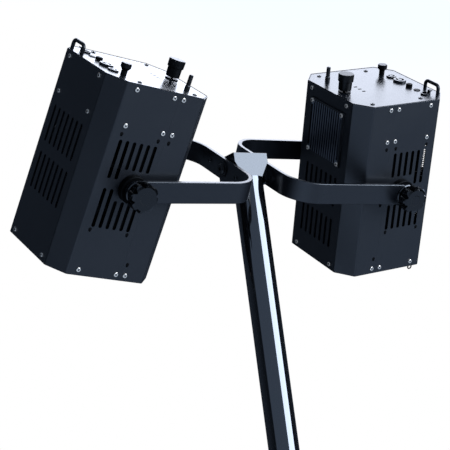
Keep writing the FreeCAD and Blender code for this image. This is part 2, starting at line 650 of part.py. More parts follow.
def heat_sink():
    base = block((OPTIC_X - SINK_DEPTH / 2, OPTIC_X + SINK_DEPTH / 2), (-STRAP_INSIDE, STRAP_INSIDE),
                 (BOARD_Z, BOARD_Z + SINK_BASE))
    foot = BOARD_Z + SINK_BASE
    pitch = (SINK_DEPTH - SINK_FIN) / (SINK_FINS - 1)
    reach = STRAP_INSIDE - PIVOT_STUD / 2 - STRAP_GAP
    fins = [block((OPTIC_X + y - SINK_FIN / 2, OPTIC_X + y + SINK_FIN / 2), (-reach, reach),
                  (foot - 1, foot + SINK_FIN_HEIGHT)) for y in spread(SINK_FINS, pitch)]
    return base.fuse(fins).removeSplitter()


def fan_frame():
    """Square frame of an axial fan, with the hub that carries the rotor on three arms."""
    half = FAN_SIZE / 2
    front = -PIVOT_TO_INTAKE + SHEET
    back = front + FAN_DEPTH
    axis = Vector(front, 0, FAN_Z)
    frame = block((front, back), (-half, half), (FAN_Z - half, FAN_Z + half))
    frame = frame.cut(rod(FAN_BORE, axis, FAN_DEPTH, OUTWARD))
    hub = rod(FAN_HUB, Vector(back - 3, 0, FAN_Z), 3, OUTWARD)
    arm = block((back - 3, back), (-2, 2), (FAN_Z, FAN_Z + FAN_BORE + 1))
    arms = [arm.rotated(axis, OUTWARD, 120 * i) for i in range(3)]
    frame = frame.fuse([hub] + arms).removeSplitter()
    return frame.cut(rod(FAN_SHAFT + RUNNING, axis, FAN_DEPTH, OUTWARD))


def fan_rotor():
    """Rotor drawn about +Z from the fan's front, then laid along the head's depth."""
    depth = FAN_DEPTH - 3 - 2 * FAN_TIP_GAP
    hub = rod(FAN_HUB, CENTRE, depth)
    tip = FAN_BORE - FAN_TIP_GAP
    blades = []
    for i in range(FAN_BLADES):
        blade = block((FAN_HUB - 1, tip - BLADE_GAP), (-BLADE / 2, BLADE / 2), (depth / 8, depth * 7 / 8))
        blade = blade.rotated(Vector(0, 0, depth / 2), OUTWARD, BLADE_PITCH)
        blade = blade.common(rod(tip, CENTRE, depth))
        blades.append(blade.rotated(CENTRE, UP, 360 * i / FAN_BLADES))
    shaft = rod(FAN_SHAFT, CENTRE, depth + FAN_TIP_GAP + 3)
    rotor = hub.fuse(blades + [shaft]).removeSplitter()
    return stand(rotor, Vector(-PIVOT_TO_INTAKE + SHEET + FAN_TIP_GAP, 0, FAN_Z), OUTWARD)


def chassis():
    """Two upright straps joined by a shelf; the bosses take the pivot studs' thread."""
    half = STRAP_WIDTH / 2
    low = GLASS_Z
    straps = []
    for side in (-1, 1):
        inner, outer = side * STRAP_INSIDE, side * STRAP_OUTSIDE
        straps.append(block((-half, half), (min(inner, outer), max(inner, outer)), (low, SHELL_TOP)))
        start = Vector(0, side * (STRAP_INSIDE - PIVOT_STUD / 2), -PIVOT_DROP)
        straps.append(rod(PIVOT_STUD, start, PIVOT_STUD / 2 + STRAP + STRAP_GAP, AWAY * side))
    shelf = block((-SHELF_HALF_X, SHELF_HALF_X), (-STRAP_OUTSIDE, STRAP_OUTSIDE), (SHELF_Z, SHELF_Z + STRAP))
    frame = shelf.fuse(straps).removeSplitter()
    bore = rod(PIVOT_STUD / 2 + RUNNING, Vector(0, -HALF_WIDTH, -PIVOT_DROP), HEAD_WIDTH, AWAY)
    return frame.cut([bore] + screw_holes())


def power_supply():
    half_x = SUPPLY_LENGTH / 2
    half_y = SUPPLY_WIDTH / 2
    low = SHELF_Z + STRAP
    body = block((-half_x, half_x), (-half_y, half_y), (low, low + SUPPLY_HEIGHT))
    vents = [block((x - 2, x + 2), (-half_y - 1, -half_y + 2), (low + 20, low + SUPPLY_HEIGHT - 20))
             for x in spread(9, 12)]
    return body.cut(vents)


def power_socket():
    """Round locking mains inlet, and the smaller outlet beside it."""
    solids = []
    sockets = ((POWER_XY, POWER_RADIUS, POWER_RISE), (OUTLET_XY, OUTLET_RADIUS, OUTLET_RISE))
    for (x, y), radius, rise in sockets:
        neck = SOCKET_NECK * radius
        foot = TOP - SOCKET_DEPTH
        floor = TOP - SOCKET_RECESS
        body = turned([(0, foot), (neck, foot), (neck, TOP), (radius, TOP),
                       (radius, TOP + rise - SOCKET_EDGE), (radius - SOCKET_EDGE, TOP + rise),
                       (0, TOP + rise)])
        recess = tube(radius * 2 / 3, radius / 3, Vector(0, 0, floor), SOCKET_RECESS + rise)
        key = block((-radius / 8, radius / 8), (0.3 * radius, 0.7 * radius), (floor, TOP + rise))
        solids.append(body.cut(recess.cut(key)).translated(Vector(x, y, 0)))
    return group(solids)


def data_socket():
    """Round data socket with a release tab beside its mouth."""
    x, y = DATA_XY
    neck = SOCKET_NECK * DATA_RADIUS
    foot = TOP - DATA_DEPTH
    floor = TOP - DATA_RECESS
    body = turned([(0, foot), (neck, foot), (neck, TOP), (DATA_RADIUS, TOP),
                   (DATA_RADIUS, TOP + DATA_RISE), (0, TOP + DATA_RISE)])
    body = body.cut(rod(0.7 * DATA_RADIUS, Vector(0, 0, floor), DATA_RECESS + DATA_RISE + 1))
    pin = rod(PIN_RADIUS, Vector(0.38 * DATA_RADIUS, 0, floor - 1), PIN_LENGTH)
    body = body.fuse([pin.rotated(CENTRE, UP, 60 + 120 * i) for i in range(3)])
    inner = DATA_RADIUS - LATCH_BASE
    width = (-LATCH_HALF, LATCH_HALF)
    tab = block((inner, DATA_RADIUS + LATCH_BASE), width, (TOP, TOP + LATCH_RISE))
    hook = block((inner, DATA_RADIUS + LATCH_HOOK), width, (TOP + LATCH_RISE - LATCH_LIP, TOP + LATCH_RISE))
    return body.fuse([tab, hook]).removeSplitter().translated(Vector(x, y, 0))


def panel_fittings():
    """Fuse holder, blanking plug, focus bush, three indicator windows and a safety eye underneath."""
    solids = []
    x, y = FUSE_XY
    neck = FITTING_NECK * FUSE_RADIUS
    foot = TOP - FUSE_DEPTH
    crest = TOP + FUSE_RISE
    fuse = turned([(0, foot), (neck, foot), (neck, TOP), (FUSE_RADIUS, TOP), (FUSE_RADIUS, crest - 1),
                   (FUSE_RADIUS - 1, crest), (0, crest)])
    half_slot = FUSE_SLOT / 2
    slot_depth = (crest - FUSE_SLOT, crest + 1)
    fuse = fuse.cut(block((-FUSE_RADIUS, FUSE_RADIUS), (-half_slot, half_slot), slot_depth))
    solids.append(fuse.translated(Vector(x, y, 0)))
    x, y = PLUG_XY
    neck = FITTING_NECK * PLUG_RADIUS
    foot = SHELL_TOP - FITTING_DEPTH
    plug = turned([(0, foot), (neck, foot), (neck, TOP), (PLUG_RADIUS, TOP),
                   (PLUG_RADIUS - 0.5, TOP + PLUG_RISE), (0, TOP + PLUG_RISE)])
    solids.append(plug.translated(Vector(x, y, 0)))
    x, y = FOCUS_XY
    bush = tube(0.8 * FOCUS_RADIUS, FOCUS_NECK / 2 + RUNNING, Vector(x, y, TOP), BUSH_RISE)
    solids.append(bush)
    for x, y in WINDOWS_XY:
        half_x = WINDOW_SIZE[0] / 2 - RUNNING
        half_y = WINDOW_SIZE[1] / 2 - RUNNING
        face = TOP - WINDOW_SINK
        solids.append(block((x - half_x, x + half_x), (y - half_y, y + half_y), (SHELL_TOP, face)))
    eye = Vector(SAFETY_EYE_X, SAFETY_EYE_INSET - HALF_WIDTH, BOTTOM)
    ring = Part.makeTorus(EYE_RADIUS, EYE_BAR, eye - UP * (EYE_RADIUS + EYE_BAR), AWAY)
    stem = rod(EYE_BAR, eye - UP * 2 * EYE_BAR, 2 * EYE_BAR)
    solids.append(ring.fuse(stem).removeSplitter())
    return group(solids)


def handle():
    """Round-bar loop handle, its ends turned down into the top plate."""
    low, high = HANDLE_Y
    bend = 2.2 * HANDLE_BAR
    crest = TOP + HANDLE_RISE
    inset = bend * (1 - math.sin(math.radians(45)))
    points = [Vector(HANDLE_X, low, TOP), Vector(HANDLE_X, low, crest - bend),
              Vector(HANDLE_X, low + bend, crest), Vector(HANDLE_X, high - bend, crest),
              Vector(HANDLE_X, high, crest - bend), Vector(HANDLE_X, high, TOP)]
    first_bend = Vector(HANDLE_X, low + inset, crest - inset)
    second_bend = Vector(HANDLE_X, high - inset, crest - inset)
    path = Part.Wire([Part.LineSegment(points[0], points[1]).toShape(),
                      Part.Arc(points[1], first_bend, points[2]).toShape(),
                      Part.LineSegment(points[2], points[3]).toShape(),
                      Part.Arc(points[3], second_bend, points[4]).toShape(),
                      Part.LineSegment(points[4], points[5]).toShape()])
    section = Part.Wire([Part.makeCircle(HANDLE_BAR, points[0], UP)])
    bar = path.makePipeShell([section], True, False)
    foot = SHELL_TOP - FITTING_DEPTH
    studs = [rod(HANDLE_BAR / 2, Vector(HANDLE_X, y, foot), TOP - foot + 1) for y in HANDLE_Y]
    return bar.fuse(studs).removeSplitter()


def antenna():
    x, y = ANTENNA_XY
    radius = ANTENNA_RADIUS
    neck = FITTING_NECK * radius
    foot = SHELL_TOP - FITTING_DEPTH
    collar = TOP + ANTENNA_COLLAR
    crest = TOP + ANTENNA_HEIGHT
    body = turned([(0, foot), (neck, foot), (neck, TOP), (radius + 1, TOP), (radius + 1, collar),
                   (radius, collar + 2), (radius, crest - 1), (radius - 1, crest), (0, crest)])
    return body.translated(Vector(x, y, 0))


def focus_knob():
    """Tall knob with a wider grip at its top, on a thin spindle."""
    x, y = FOCUS_XY
    low = TOP + FOCUS_NECK
    high = low + FOCUS_HEIGHT
    step = low + 0.52 * FOCUS_HEIGHT
    spindle = FOCUS_NECK / 2
    foot = SHELL_TOP - 2 * FITTING_DEPTH
    body = turned([(0, foot), (spindle, foot), (spindle, low),
                   (0.8 * FOCUS_RADIUS, low), (0.83 * FOCUS_RADIUS, low + 1), (0.85 * FOCUS_RADIUS, step),
                   (0.97 * FOCUS_RADIUS, step + 1), (FOCUS_RADIUS, high - 1), (FOCUS_RADIUS - 1, high),
                   (0, high)])
    centre = Vector(FOCUS_RADIUS + GROOVE_RADIUS / 2, 0, step + 2)
    groove = rod(GROOVE_RADIUS, centre, FOCUS_HEIGHT)
    grooves = [groove.rotated(CENTRE, UP, 360 * i / GROOVES) for i in range(GROOVES)]
    return body.cut(grooves).translated(Vector(x, y, 0))


def small_knob():
    """Slim push-on knob: a thick stem that flares into a round cap."""
    x, y = SMALL_KNOB_XY
    radius = SMALL_KNOB_RADIUS
    high = TOP + SMALL_KNOB_HEIGHT
    stem = 0.58 * radius
    low = TOP + FACE_GAP
    foot = SHELL_TOP - 2 * FITTING_DEPTH
    cap = high - SMALL_KNOB_CAP
    body = turned([(0, foot), (0.4 * radius, foot), (0.4 * radius, low), (stem, low), (stem, cap - 5),
                   (radius - 1, cap - 1), (radius, cap), (radius, high - 1), (radius - 1, high), (0, high)])
    return body.translated(Vector(x, y, 0))


def pivot_discs():
    """Black spacer discs between the head's sides and the yoke's arms."""
    solids = []
    for side in (-1, 1):
        start = Vector(0, side * HALF_WIDTH, -PIVOT_DROP)
        disc = rod(DISC_RADIUS, start, DISC_THICKNESS, AWAY * side)
        disc = disc.makeChamfer(1.5, [e for e in disc.Edges if e.BoundBox.YLength < NEAR])
        solids.append(disc.cut(rod(PIVOT_STUD / 2 + RUNNING, start, DISC_THICKNESS, AWAY * side)))
    return group(solids)


def clamp_knob(side):
    """Star-shaped clamp knob on its threaded stud, for one side of the head."""
    neck = KNOB_NECK
    high = neck + KNOB_THICKNESS
    core = KNOB_RADIUS - KNOB_LOBE_RADIUS
    lobe = rod(KNOB_LOBE_RADIUS, Vector(core, 0, neck), KNOB_THICKNESS)
    lobes = [lobe.rotated(CENTRE, UP, 360 * i / KNOB_LOBES) for i in range(KNOB_LOBES)]
    star = rod(core, Vector(0, 0, neck), KNOB_THICKNESS).fuse(lobes)
    crown = turned([(0, neck), (KNOB_RADIUS - 4, neck), (KNOB_RADIUS, neck + 4), (KNOB_RADIUS, high - 5),
                    (KNOB_RADIUS - 2, high - 1.5), (KNOB_RADIUS - 6, high), (0, high)])
    flange = KNOB_FLANGE * KNOB_RADIUS
    hub = turned([(0, 0), (flange, 0), (flange, 0.6 * KNOB_FLANGE_RISE), (flange - 1.5, KNOB_FLANGE_RISE),
                  (0.6 * KNOB_RADIUS, KNOB_FLANGE_RISE), (0.6 * KNOB_RADIUS, neck + 1), (0, neck + 1)])
    stud_length = ARM_OUTSIDE + FACE_GAP - STRAP_INSIDE + PIVOT_STUD / 2
    knob = star.common(crown).fuse(hub).removeSplitter()
    knob = knob.cut(rod(PIVOT_STUD / 2, CENTRE, neck + KNOB_THICKNESS / 2))
    stud = rod(PIVOT_STUD / 2, Vector(0, 0, -stud_length), stud_length + neck + KNOB_THICKNESS / 2)
    place = Vector(0, side * (ARM_OUTSIDE + FACE_GAP), -PIVOT_DROP)
    return group([stand(knob, place, AWAY * side), stand(stud, place, AWAY * side)])


# Assembly

def level_yoke(shape, is_left):
    """Turn a piece drawn level with the right-hand yoke to its own side, swivelled and raised."""
    moved = shape.copy()
    if is_left:
        moved.rotate(CENTRE, UP, 180)
    moved.rotate(CENTRE, OUTWARD, YOKE_ROLL)
    moved.translate(Vector(0, SWIVEL_SETBACK, AXIS_HEIGHT))
    return moved


def hang_head(shape, is_left):
    """Tilt a piece of the head about its pivots and hang it in its yoke."""
    moved = shape.translated(UP * PIVOT_DROP)
    moved.rotate(CENTRE, AWAY, HEAD_TILT)
    moved.translate(OUTWARD * PIVOT_X)
    return level_yoke(moved, is_left)


def save(name, shape):
    shape.exportStep("parts/" + name + ".step")
    box = shape.BoundBox
    lengths = [round(length) for length in (box.XLength, box.YLength, box.ZLength)]
    print(name, len(shape.Solids), shape.isValid(), lengths)


os.makedirs("parts", exist_ok=True)

save("base_plate", base_plate())
save("base_gussets", base_gussets())
save("mast_tube", mast_tube())
save("mast_head", mast_head())
save("swivel_bolts", swivel_bolts())

intake_shell, outer_shell = shells()
yoke_parts = {
    "yoke_bar": yoke_bar(),
    "yoke_screws": yoke_screws(),
}
head_parts = {
    "intake_shell": intake_shell,
    "outer_shell": outer_shell,
    "top_plate": top_plate(),
    "bottom_bezel": bottom_bezel(),
    "panel_screws": panel_screws(),
    "filter_grille": filter_grille(),
    "front_glass": front_glass(),
    "lens_barrel": lens_barrel(),
    "lens": lens(),
    "led_board": led_board(),
    "heat_sink": heat_sink(),
    "fan_frame": fan_frame(),
    "fan_rotor": fan_rotor(),
    "chassis": chassis(),
    "power_supply": power_supply(),
    "power_sockets": power_socket(),
    "data_socket": data_socket(),
    "panel_fittings": panel_fittings(),
    "handle": handle(),
    "antenna": antenna(),
    "focus_knob": focus_knob(),
    "small_knob": small_knob(),
    "pivot_discs": pivot_discs(),
    "front_clamp_knob": clamp_knob(-1),
    "back_clamp_knob": clamp_knob(1),
}
for side_name, is_left in (("right", False), ("left", True)):
    for name, shape in yoke_parts.items():
        save(side_name + "_" + name, level_yoke(shape, is_left))
    for name, shape in head_parts.items():
        save(side_name + "_" + name, hang_head(shape, is_left))
print("pivot at x =", round(PIVOT_X, 2), "bottom of case", BOTTOM)
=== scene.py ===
# %% [markdown]
# # A twin-head stage projector on a mast, finished for the studio
#
# Two black projector heads hang in bent steel yokes on top of a slim mast. The workshop model
# already holds every part that has a real size: sheet metal, bolts, knobs, lenses. This lesson
# adds what a painter and a fitter would add: the paint, the plastics, the glass, the fine wire
# guard behind the intake fins, the welds at the mast's foot, and the light of the studio.
#
# Everything is in metres, in the workshop model's own frame: +Z is up, +X points towards the
# right-hand head, and -Y is the front.

# %% Load the workshop model
import json
import math

import bmesh
import bpy
from mathutils import Matrix, Quaternion, Vector, geometry


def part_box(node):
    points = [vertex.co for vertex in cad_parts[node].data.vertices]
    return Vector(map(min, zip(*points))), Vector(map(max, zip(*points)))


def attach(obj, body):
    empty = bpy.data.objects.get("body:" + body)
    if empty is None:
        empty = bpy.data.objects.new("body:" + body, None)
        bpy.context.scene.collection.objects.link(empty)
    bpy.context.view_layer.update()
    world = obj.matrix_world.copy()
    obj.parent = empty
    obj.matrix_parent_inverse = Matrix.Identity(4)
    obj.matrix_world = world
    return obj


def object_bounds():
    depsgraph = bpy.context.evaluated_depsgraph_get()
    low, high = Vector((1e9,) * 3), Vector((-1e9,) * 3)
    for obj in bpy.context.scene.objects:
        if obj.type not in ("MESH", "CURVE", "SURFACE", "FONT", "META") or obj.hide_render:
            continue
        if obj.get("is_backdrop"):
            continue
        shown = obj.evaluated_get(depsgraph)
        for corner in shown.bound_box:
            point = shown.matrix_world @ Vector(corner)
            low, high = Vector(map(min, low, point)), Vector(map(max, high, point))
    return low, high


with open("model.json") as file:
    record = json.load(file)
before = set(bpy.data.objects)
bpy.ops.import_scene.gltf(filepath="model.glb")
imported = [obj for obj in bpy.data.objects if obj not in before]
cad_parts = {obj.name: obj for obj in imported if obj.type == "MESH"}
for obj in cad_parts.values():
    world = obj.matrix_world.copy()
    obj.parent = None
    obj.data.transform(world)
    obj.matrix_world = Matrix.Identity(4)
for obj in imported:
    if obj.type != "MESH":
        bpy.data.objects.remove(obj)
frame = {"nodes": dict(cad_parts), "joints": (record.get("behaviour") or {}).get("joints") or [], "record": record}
cad_low, cad_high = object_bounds()
nodes = frame["nodes"]

# %% [markdown]
# ## Where things are
#
# Nothing is placed by eye. The record lists every joint with its centre and its axis, and the
# joints of a head are enough to rebuild the head's own three axes: the tilt axis is its Y, the
# focus knob turns about its Z, and X follows from the two. A piece can then be drawn upright, in
# the head's own measures, and carried to its real place in one step.

# %% Read the joints
SIDES = ("right", "left")
joints = {joint["name"]: joint for joint in frame["joints"]}
swivel = Vector(joints["right_yoke_swivel"]["pos_m"])
swivel.x = 0.0


def head_frame(side):
    """The head's own axes, with the origin on its tilt axis."""
    tilt = joints[side + "_head_tilt"]
    across = Vector(tilt["axis"]).normalized()
    upright = Vector(joints[side + "_focus_turn"]["axis"]).normalized()
    depth = across.cross(upright).normalized()
    axes = Matrix((depth, across, upright)).transposed().to_4x4()
    axes.translation = Vector(tilt["pos_m"])
    return axes


head_axes = {side: head_frame(side) for side in SIDES}
print("yokes swivel at", [round(c, 3) for c in swivel])

# %% [markdown]
# Pieces are fitted to parts that are already there, so each part has to be measured. Its box is
# taken along the head's own axes, because the heads hang at a slant and a box along the world's
# axes would be far too large.

# %% Measure a part
def bounds_of(points):
    """Lowest and highest corner of a set of points."""
    low = Vector(min(point[i] for point in points) for i in range(3))
    high = Vector(max(point[i] for point in points) for i in range(3))
    return low, high


def in_head(points, side):
    """The same points along a head's own axes."""
    inverse = head_axes[side].inverted()
    return [inverse @ point for point in points]


def corners_of(node):
    """All vertex positions of a part."""
    return [vertex.co for vertex in nodes[node].data.vertices]


def local_box(node, side):
    """Lowest and highest corner of a head's part, measured along the head's own axes."""
    return bounds_of(in_head(corners_of(node), side))


plate_low, plate_high = local_box("right_top_plate", "right")
print("a top plate measures", [round(c, 4) for c in plate_high - plate_low])

# %% [markdown]
# ## The studio
#
# A black, shiny object is lit by what it reflects, so the studio is mostly a set of reflections.
# To the eye the surroundings are plain white. In reflections they are something else: pale in
# front on the left, dark at both sides and low at the back, which draws the mast's black edges,
# and very bright high up at the back, which turns the tops of the heads and the upper rims of
# the yokes almost white. The light that comes up from the floor in front is a cool grey.
#
# The surroundings are painted by direction in the world's shader, so they are the same for
# every camera. The sums behind them read best as plain sums. A small class therefore wraps a
# socket, and every operator on it adds the Math node that does the same.

# %% Classes for shader sums
class Value:
    """A shader socket that can be added, multiplied and so on like a number."""

    def __init__(self, recipe, socket):
        self.recipe = recipe
        self.socket = socket

    def work_out(self, operation, first, second=0.0):
        return self.recipe.node("Math", {"operation": operation}, {0: first, 1: second})

    def __add__(self, other):
        return self.work_out("ADD", self, other)

    def __radd__(self, other):
        return self.work_out("ADD", other, self)

    def __sub__(self, other):
        return self.work_out("SUBTRACT", self, other)

    def __rsub__(self, other):
        return self.work_out("SUBTRACT", other, self)

    def __mul__(self, other):
        return self.work_out("MULTIPLY", self, other)

    def __rmul__(self, other):
        return self.work_out("MULTIPLY", other, self)

    def __abs__(self):
        return self.work_out("ABSOLUTE", self)

    def __gt__(self, limit):
        return self.work_out("GREATER_THAN", self, limit)

    def __lt__(self, limit):
        return self.work_out("LESS_THAN", self, limit)

    def arcsine(self):
        """The angle, in radians, that has this sine."""
        return self.work_out("ARCSINE", self)

    def bearing(self, ahead):
        """The angle, in radians, from straight ahead towards this value's side."""
        return self.work_out("ARCTAN2", self, ahead)

    def ramp(self, low, high):
        """0 below low, 1 above high, and a smooth step between."""
        sockets = {"Value": self, "From Min": low, "From Max": high}
        return self.recipe.node("MapRange", {"interpolation_type": "SMOOTHSTEP"}, sockets)

    def between(self, low, high, soft):
        """1 between two bounds, fading to 0 over a soft edge on either side."""
        return self.ramp(low - soft, low + soft) * (1 - self.ramp(high - soft, high + soft))


class Recipe:
    """Builds the nodes that feed one shader."""

    def __init__(self, tree, shader):
        self.tree = tree
        self.shader = tree.nodes[shader]

    def put(self, item, place):
        """Link a value to a socket, or set the socket to a number, a colour or a vector."""
        if isinstance(item, Value):
            self.tree.links.new(item.socket, place)
        else:
            place.default_value = item

    def node(self, kind, settings=None, sockets=None, output=0):
        """Add a node: its settings first, then the values or links of its sockets."""
        made = self.tree.nodes.new("ShaderNode" + kind)
        for name, setting in (settings or {}).items():
            setattr(made, name, setting)
        for name, item in (sockets or {}).items():
            self.put(item, made.inputs[name])
        return Value(self, made.outputs[output])

    def feed(self, **inputs):
        """Set or link the inputs of the shader, with _ for a space in their names."""
        for name, item in inputs.items():
            self.put(item, self.shader.inputs[name.replace("_", " ")])

    def blend(self, factor, first, second):
        """Mix two colours."""
        return self.node("Mix", {"data_type": "RGBA"}, {0: factor, 6: first, 7: second}, 2)

    def axis(self, vector, direction):
        """How far a position lies along a direction."""
        sockets = {0: vector, 1: direction}
        return self.node("VectorMath", {"operation": "DOT_PRODUCT"}, sockets, "Value")


# %% [markdown]
# A ray's direction gives two angles: its azimuth round the object, counted from the front
# towards the right, and its height above the horizon. Both are worked out in degrees, which are
# easier to think in than the three numbers of a vector.

# %% Read a ray's direction
DEGREES = 180 / math.pi
world = bpy.data.worlds.new("studio")
bpy.context.scene.world = world
world.use_nodes = True
sky = Recipe(world.node_tree, "Background")
ray = sky.node("TexCoord", output="Generated")
ray_right = sky.axis(ray, (1, 0, 0))
ray_front = sky.axis(ray, (0, -1, 0))
ray_up = sky.axis(ray, (0, 0, 1))
azimuth = ray_right.bearing(ray_front) * DEGREES
elevation = ray_up.arcsine() * DEGREES


def toward(turn, rise):
    """Unit vector at two angles in degrees; turn 0 is the front (-Y) and 90 the right (+X)."""
    turn = math.radians(turn)
    rise = math.radians(rise)
    return Vector((math.sin(turn) * math.cos(rise), -math.cos(turn) * math.cos(rise), math.sin(rise)))


def patch(direction, inner, outer):
    """Soft round patch: full inside the inner angle, nothing outside the outer angle."""
    along = sky.axis(ray, direction)
    return along.ramp(math.cos(math.radians(outer)), math.cos(math.radians(inner)))


print("the front left is at", [round(c, 3) for c in toward(-45, 0)])

# %% [markdown]
# Every zone of the studio is a range of the two angles with soft edges, or a soft patch about
# one direction. The zones are added up. Seen directly, the surroundings are plain white; that is
# what the light path's camera output tells apart.

# %% Paint the zones
DARK = 0.05
FRONT_LEVEL = 0.48
FLOOR_LEVEL = 0.92
FLOOR_FALL = 0.46
SIDE_LEVEL = 0.045
BACK_LEVEL = 3.9
PLAIN_WHITE = (1, 1, 1, 1)
COOL_WHITE = (0.69, 0.93, 1.36, 1)
BACK_WHITE = (0.94, 1.01, 1.18, 1)
front_wall = azimuth.between(-88, 8, soft=3) * elevation.between(-8, 70, soft=8) * FRONT_LEVEL
floor_glow = FLOOR_LEVEL - azimuth.ramp(-80, 25) * FLOOR_FALL
lower_front = azimuth.between(-130, 110, soft=14) * (1 - elevation.ramp(-44, -12)) * floor_glow
left_back = patch(toward(-140, 26), 12, 45) * SIDE_LEVEL
high_back = patch(toward(131, 44), 18, 33) * BACK_LEVEL
reflected = front_wall + lower_front + left_back + high_back + DARK
seen_directly = sky.node("LightPath", output="Is Camera Ray")
brightness = seen_directly + (1 - seen_directly) * reflected
tint = sky.blend(seen_directly, COOL_WHITE, PLAIN_WHITE)
tint = sky.blend(high_back.ramp(0.2, 2.0), tint, BACK_WHITE)
sky.feed(Strength=brightness, Color=tint)
bpy.context.scene.view_settings.view_transform = "Standard"
print("the studio takes", len(world.node_tree.nodes), "nodes")

# %% [markdown]
# The soft box is an area light. It is hidden from the camera, so that no view shows it hanging
# in the room, but reflections and shadows still have it. On the mast it is the white stripe.
# Its power is worked out from how bright its face should look, so that a change of its size
# doesn't change the brightness of the stripe.

# %% Hang the soft box
KEY_DIRECTION = toward(29.8, 8)
KEY_DISTANCE = 3.2
KEY_HALF_ANGLE = 23.8
KEY_HEIGHT = 2.2
KEY_RADIANCE = 13.7
KEY_COLOUR = (0.72, 0.84, 1.03)

lamp = bpy.data.lights.new("key_box", "AREA")
lamp.shape = "RECTANGLE"
lamp.size = 2 * KEY_DISTANCE * math.tan(math.radians(KEY_HALF_ANGLE))
lamp.size_y = KEY_HEIGHT
lamp.energy = KEY_RADIANCE * math.pi * lamp.size * lamp.size_y
lamp.color = KEY_COLOUR
key_box = bpy.data.objects.new("key_box", lamp)
bpy.context.scene.collection.objects.link(key_box)
key_box.location = swivel + KEY_DIRECTION * KEY_DISTANCE
key_box.rotation_mode = "QUATERNION"
key_box.rotation_quaternion = KEY_DIRECTION.to_track_quat("Z", "Y")
key_box.visible_camera = False
print("key box,", round(lamp.size, 2), "m wide,", round(lamp.energy), "W")

# %% [markdown]
# The floor is a plain pale disc. It takes the object's shadow, but it is kept out of the
# reflections, because a lit floor would turn the undersides of the heads grey. Its paint is the
# first finish of the lesson: a faint mottle from a noise, so that it isn't one dead colour.

# %% Lay the floor
FLOOR_RADIUS = 14.0
FLOOR_GAP = 0.0005
finishes = {}


def build(name, work):
    """Make a mesh object from a bmesh and close the bmesh."""
    mesh = bpy.data.meshes.new(name)
    work.to_mesh(mesh)
    work.free()
    piece = bpy.data.objects.new(name, mesh)
    bpy.context.scene.collection.objects.link(piece)
    return piece


def finish(name):
    """A new material, the recipe of its main shader and a position on the object in metres."""
    material = bpy.data.materials.new(name)
    material.use_nodes = True
    finishes[name] = material
    recipe = Recipe(material.node_tree, "Principled BSDF")
    place = recipe.node("TexCoord", output="Object")
    return material, recipe, place


def noise(recipe, place, scale, detail=2.0, roughness=0.5):
    """Noise with scale features per metre."""
    sockets = {"Vector": place, "Scale": scale, "Detail": detail, "Roughness": roughness}
    return recipe.node("TexNoise", sockets=sockets)


work = bmesh.new()
bmesh.ops.create_circle(work, cap_ends=True, segments=96, radius=FLOOR_RADIUS)
floor = build("floor", work)
floor.location.z = cad_low.z - FLOOR_GAP
floor.visible_glossy = False
floor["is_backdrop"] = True

floor_paint, recipe, place = finish("floor_paint")
mottle = noise(recipe, place, 3.0, 4.0)
recipe.feed(Base_Color=recipe.blend(mottle, (0.82, 0.82, 0.82, 1), (0.86, 0.86, 0.86, 1)), Roughness=0.9)
floor.data.materials.append(floor_paint)
print("floor at", round(floor.location.z, 4))

# %% [markdown]
# ## The camera
#
# It stands to the front left, a little below the heads, with a long lens. Its place is given
# from the swivel axis, and it leans a few degrees to one side.

# %% Set the camera
CAMERA_AZIMUTH = -33.64
CAMERA_ELEVATION = -10.72
CAMERA_LEAN = -7.45
CAMERA_DISTANCE = 2.680
AIM = swivel + Vector((-0.0408, 0.0249, -0.1030))

lens = bpy.data.cameras.new("camera")
lens.lens = 112.96
lens.sensor_width = 36.0
camera = bpy.data.objects.new("camera", lens)
bpy.context.scene.collection.objects.link(camera)
back = toward(CAMERA_AZIMUTH, CAMERA_ELEVATION)
camera.location = AIM + back * CAMERA_DISTANCE
camera.rotation_mode = "QUATERNION"
lean = Quaternion((0, 0, 1), math.radians(CAMERA_LEAN))
camera.rotation_quaternion = back.to_track_quat("Z", "Y") @ lean
bpy.context.scene.camera = camera
print("camera at", [round(c, 3) for c in camera.location])

# %% [markdown]
# ## Paints
#
# The workshop model names a material slot for each part, and every slot gets a finish of the
# same name. The levels look very low because the real object is: black paint sends back less
# than one part in a hundred of the light, and all the rest is reflection.
#
# The cases are powder coated. Powder melts into a skin with a very fine grain, like the peel of
# an orange seen from far away. Two noises do it: a fine one bends the light, and a wide one
# varies the gloss a little, where hands and cloths have been. A third lays a little pale dust.
# The mast has a wet gloss paint instead, whose surface only flows in long, shallow waves.

# %% Powder coat and gloss paint
def bump(recipe, height, distance, strength):
    """A normal that leans as if the surface rose and fell by a distance."""
    sockets = {"Height": height, "Distance": distance, "Strength": strength}
    return recipe.node("Bump", sockets=sockets, output="Normal")


def grey(level, blue=0.0):
    """A near-black or grey paint colour, leaning to blue by a share."""
    return (level * (1 - 0.5 * blue), level, level * (1 + blue), 1.0)


def powder_coat(name, level, blue, roughness, shine=0.5):
    material, recipe, place = finish(name)
    skin = noise(recipe, place, 900.0, 3.0)
    handled = noise(recipe, place, 9.0, 5.0, 0.6)
    dust = noise(recipe, place, 60.0, 4.0, 0.7).ramp(0.55, 0.85)
    recipe.feed(Base_Color=recipe.blend(dust * 0.5, grey(level, blue), grey(level * 1.9, blue)),
                Roughness=roughness + (handled - 0.5) * 0.16,
                Normal=bump(recipe, skin, 0.00006, 0.6), Specular_IOR_Level=shine)
    return material


def gloss_paint(name, level, blue, roughness, shine):
    material, recipe, place = finish(name)
    flow = noise(recipe, place, 140.0, 1.0)
    handled = noise(recipe, place, 7.0, 5.0, 0.6)
    recipe.feed(Base_Color=recipe.blend(handled, grey(level, blue), grey(level * 1.5, blue)),
                Roughness=roughness + (handled - 0.5) * 0.05,
                Normal=bump(recipe, flow, 0.00002, 0.3), Specular_IOR_Level=shine)
    return material


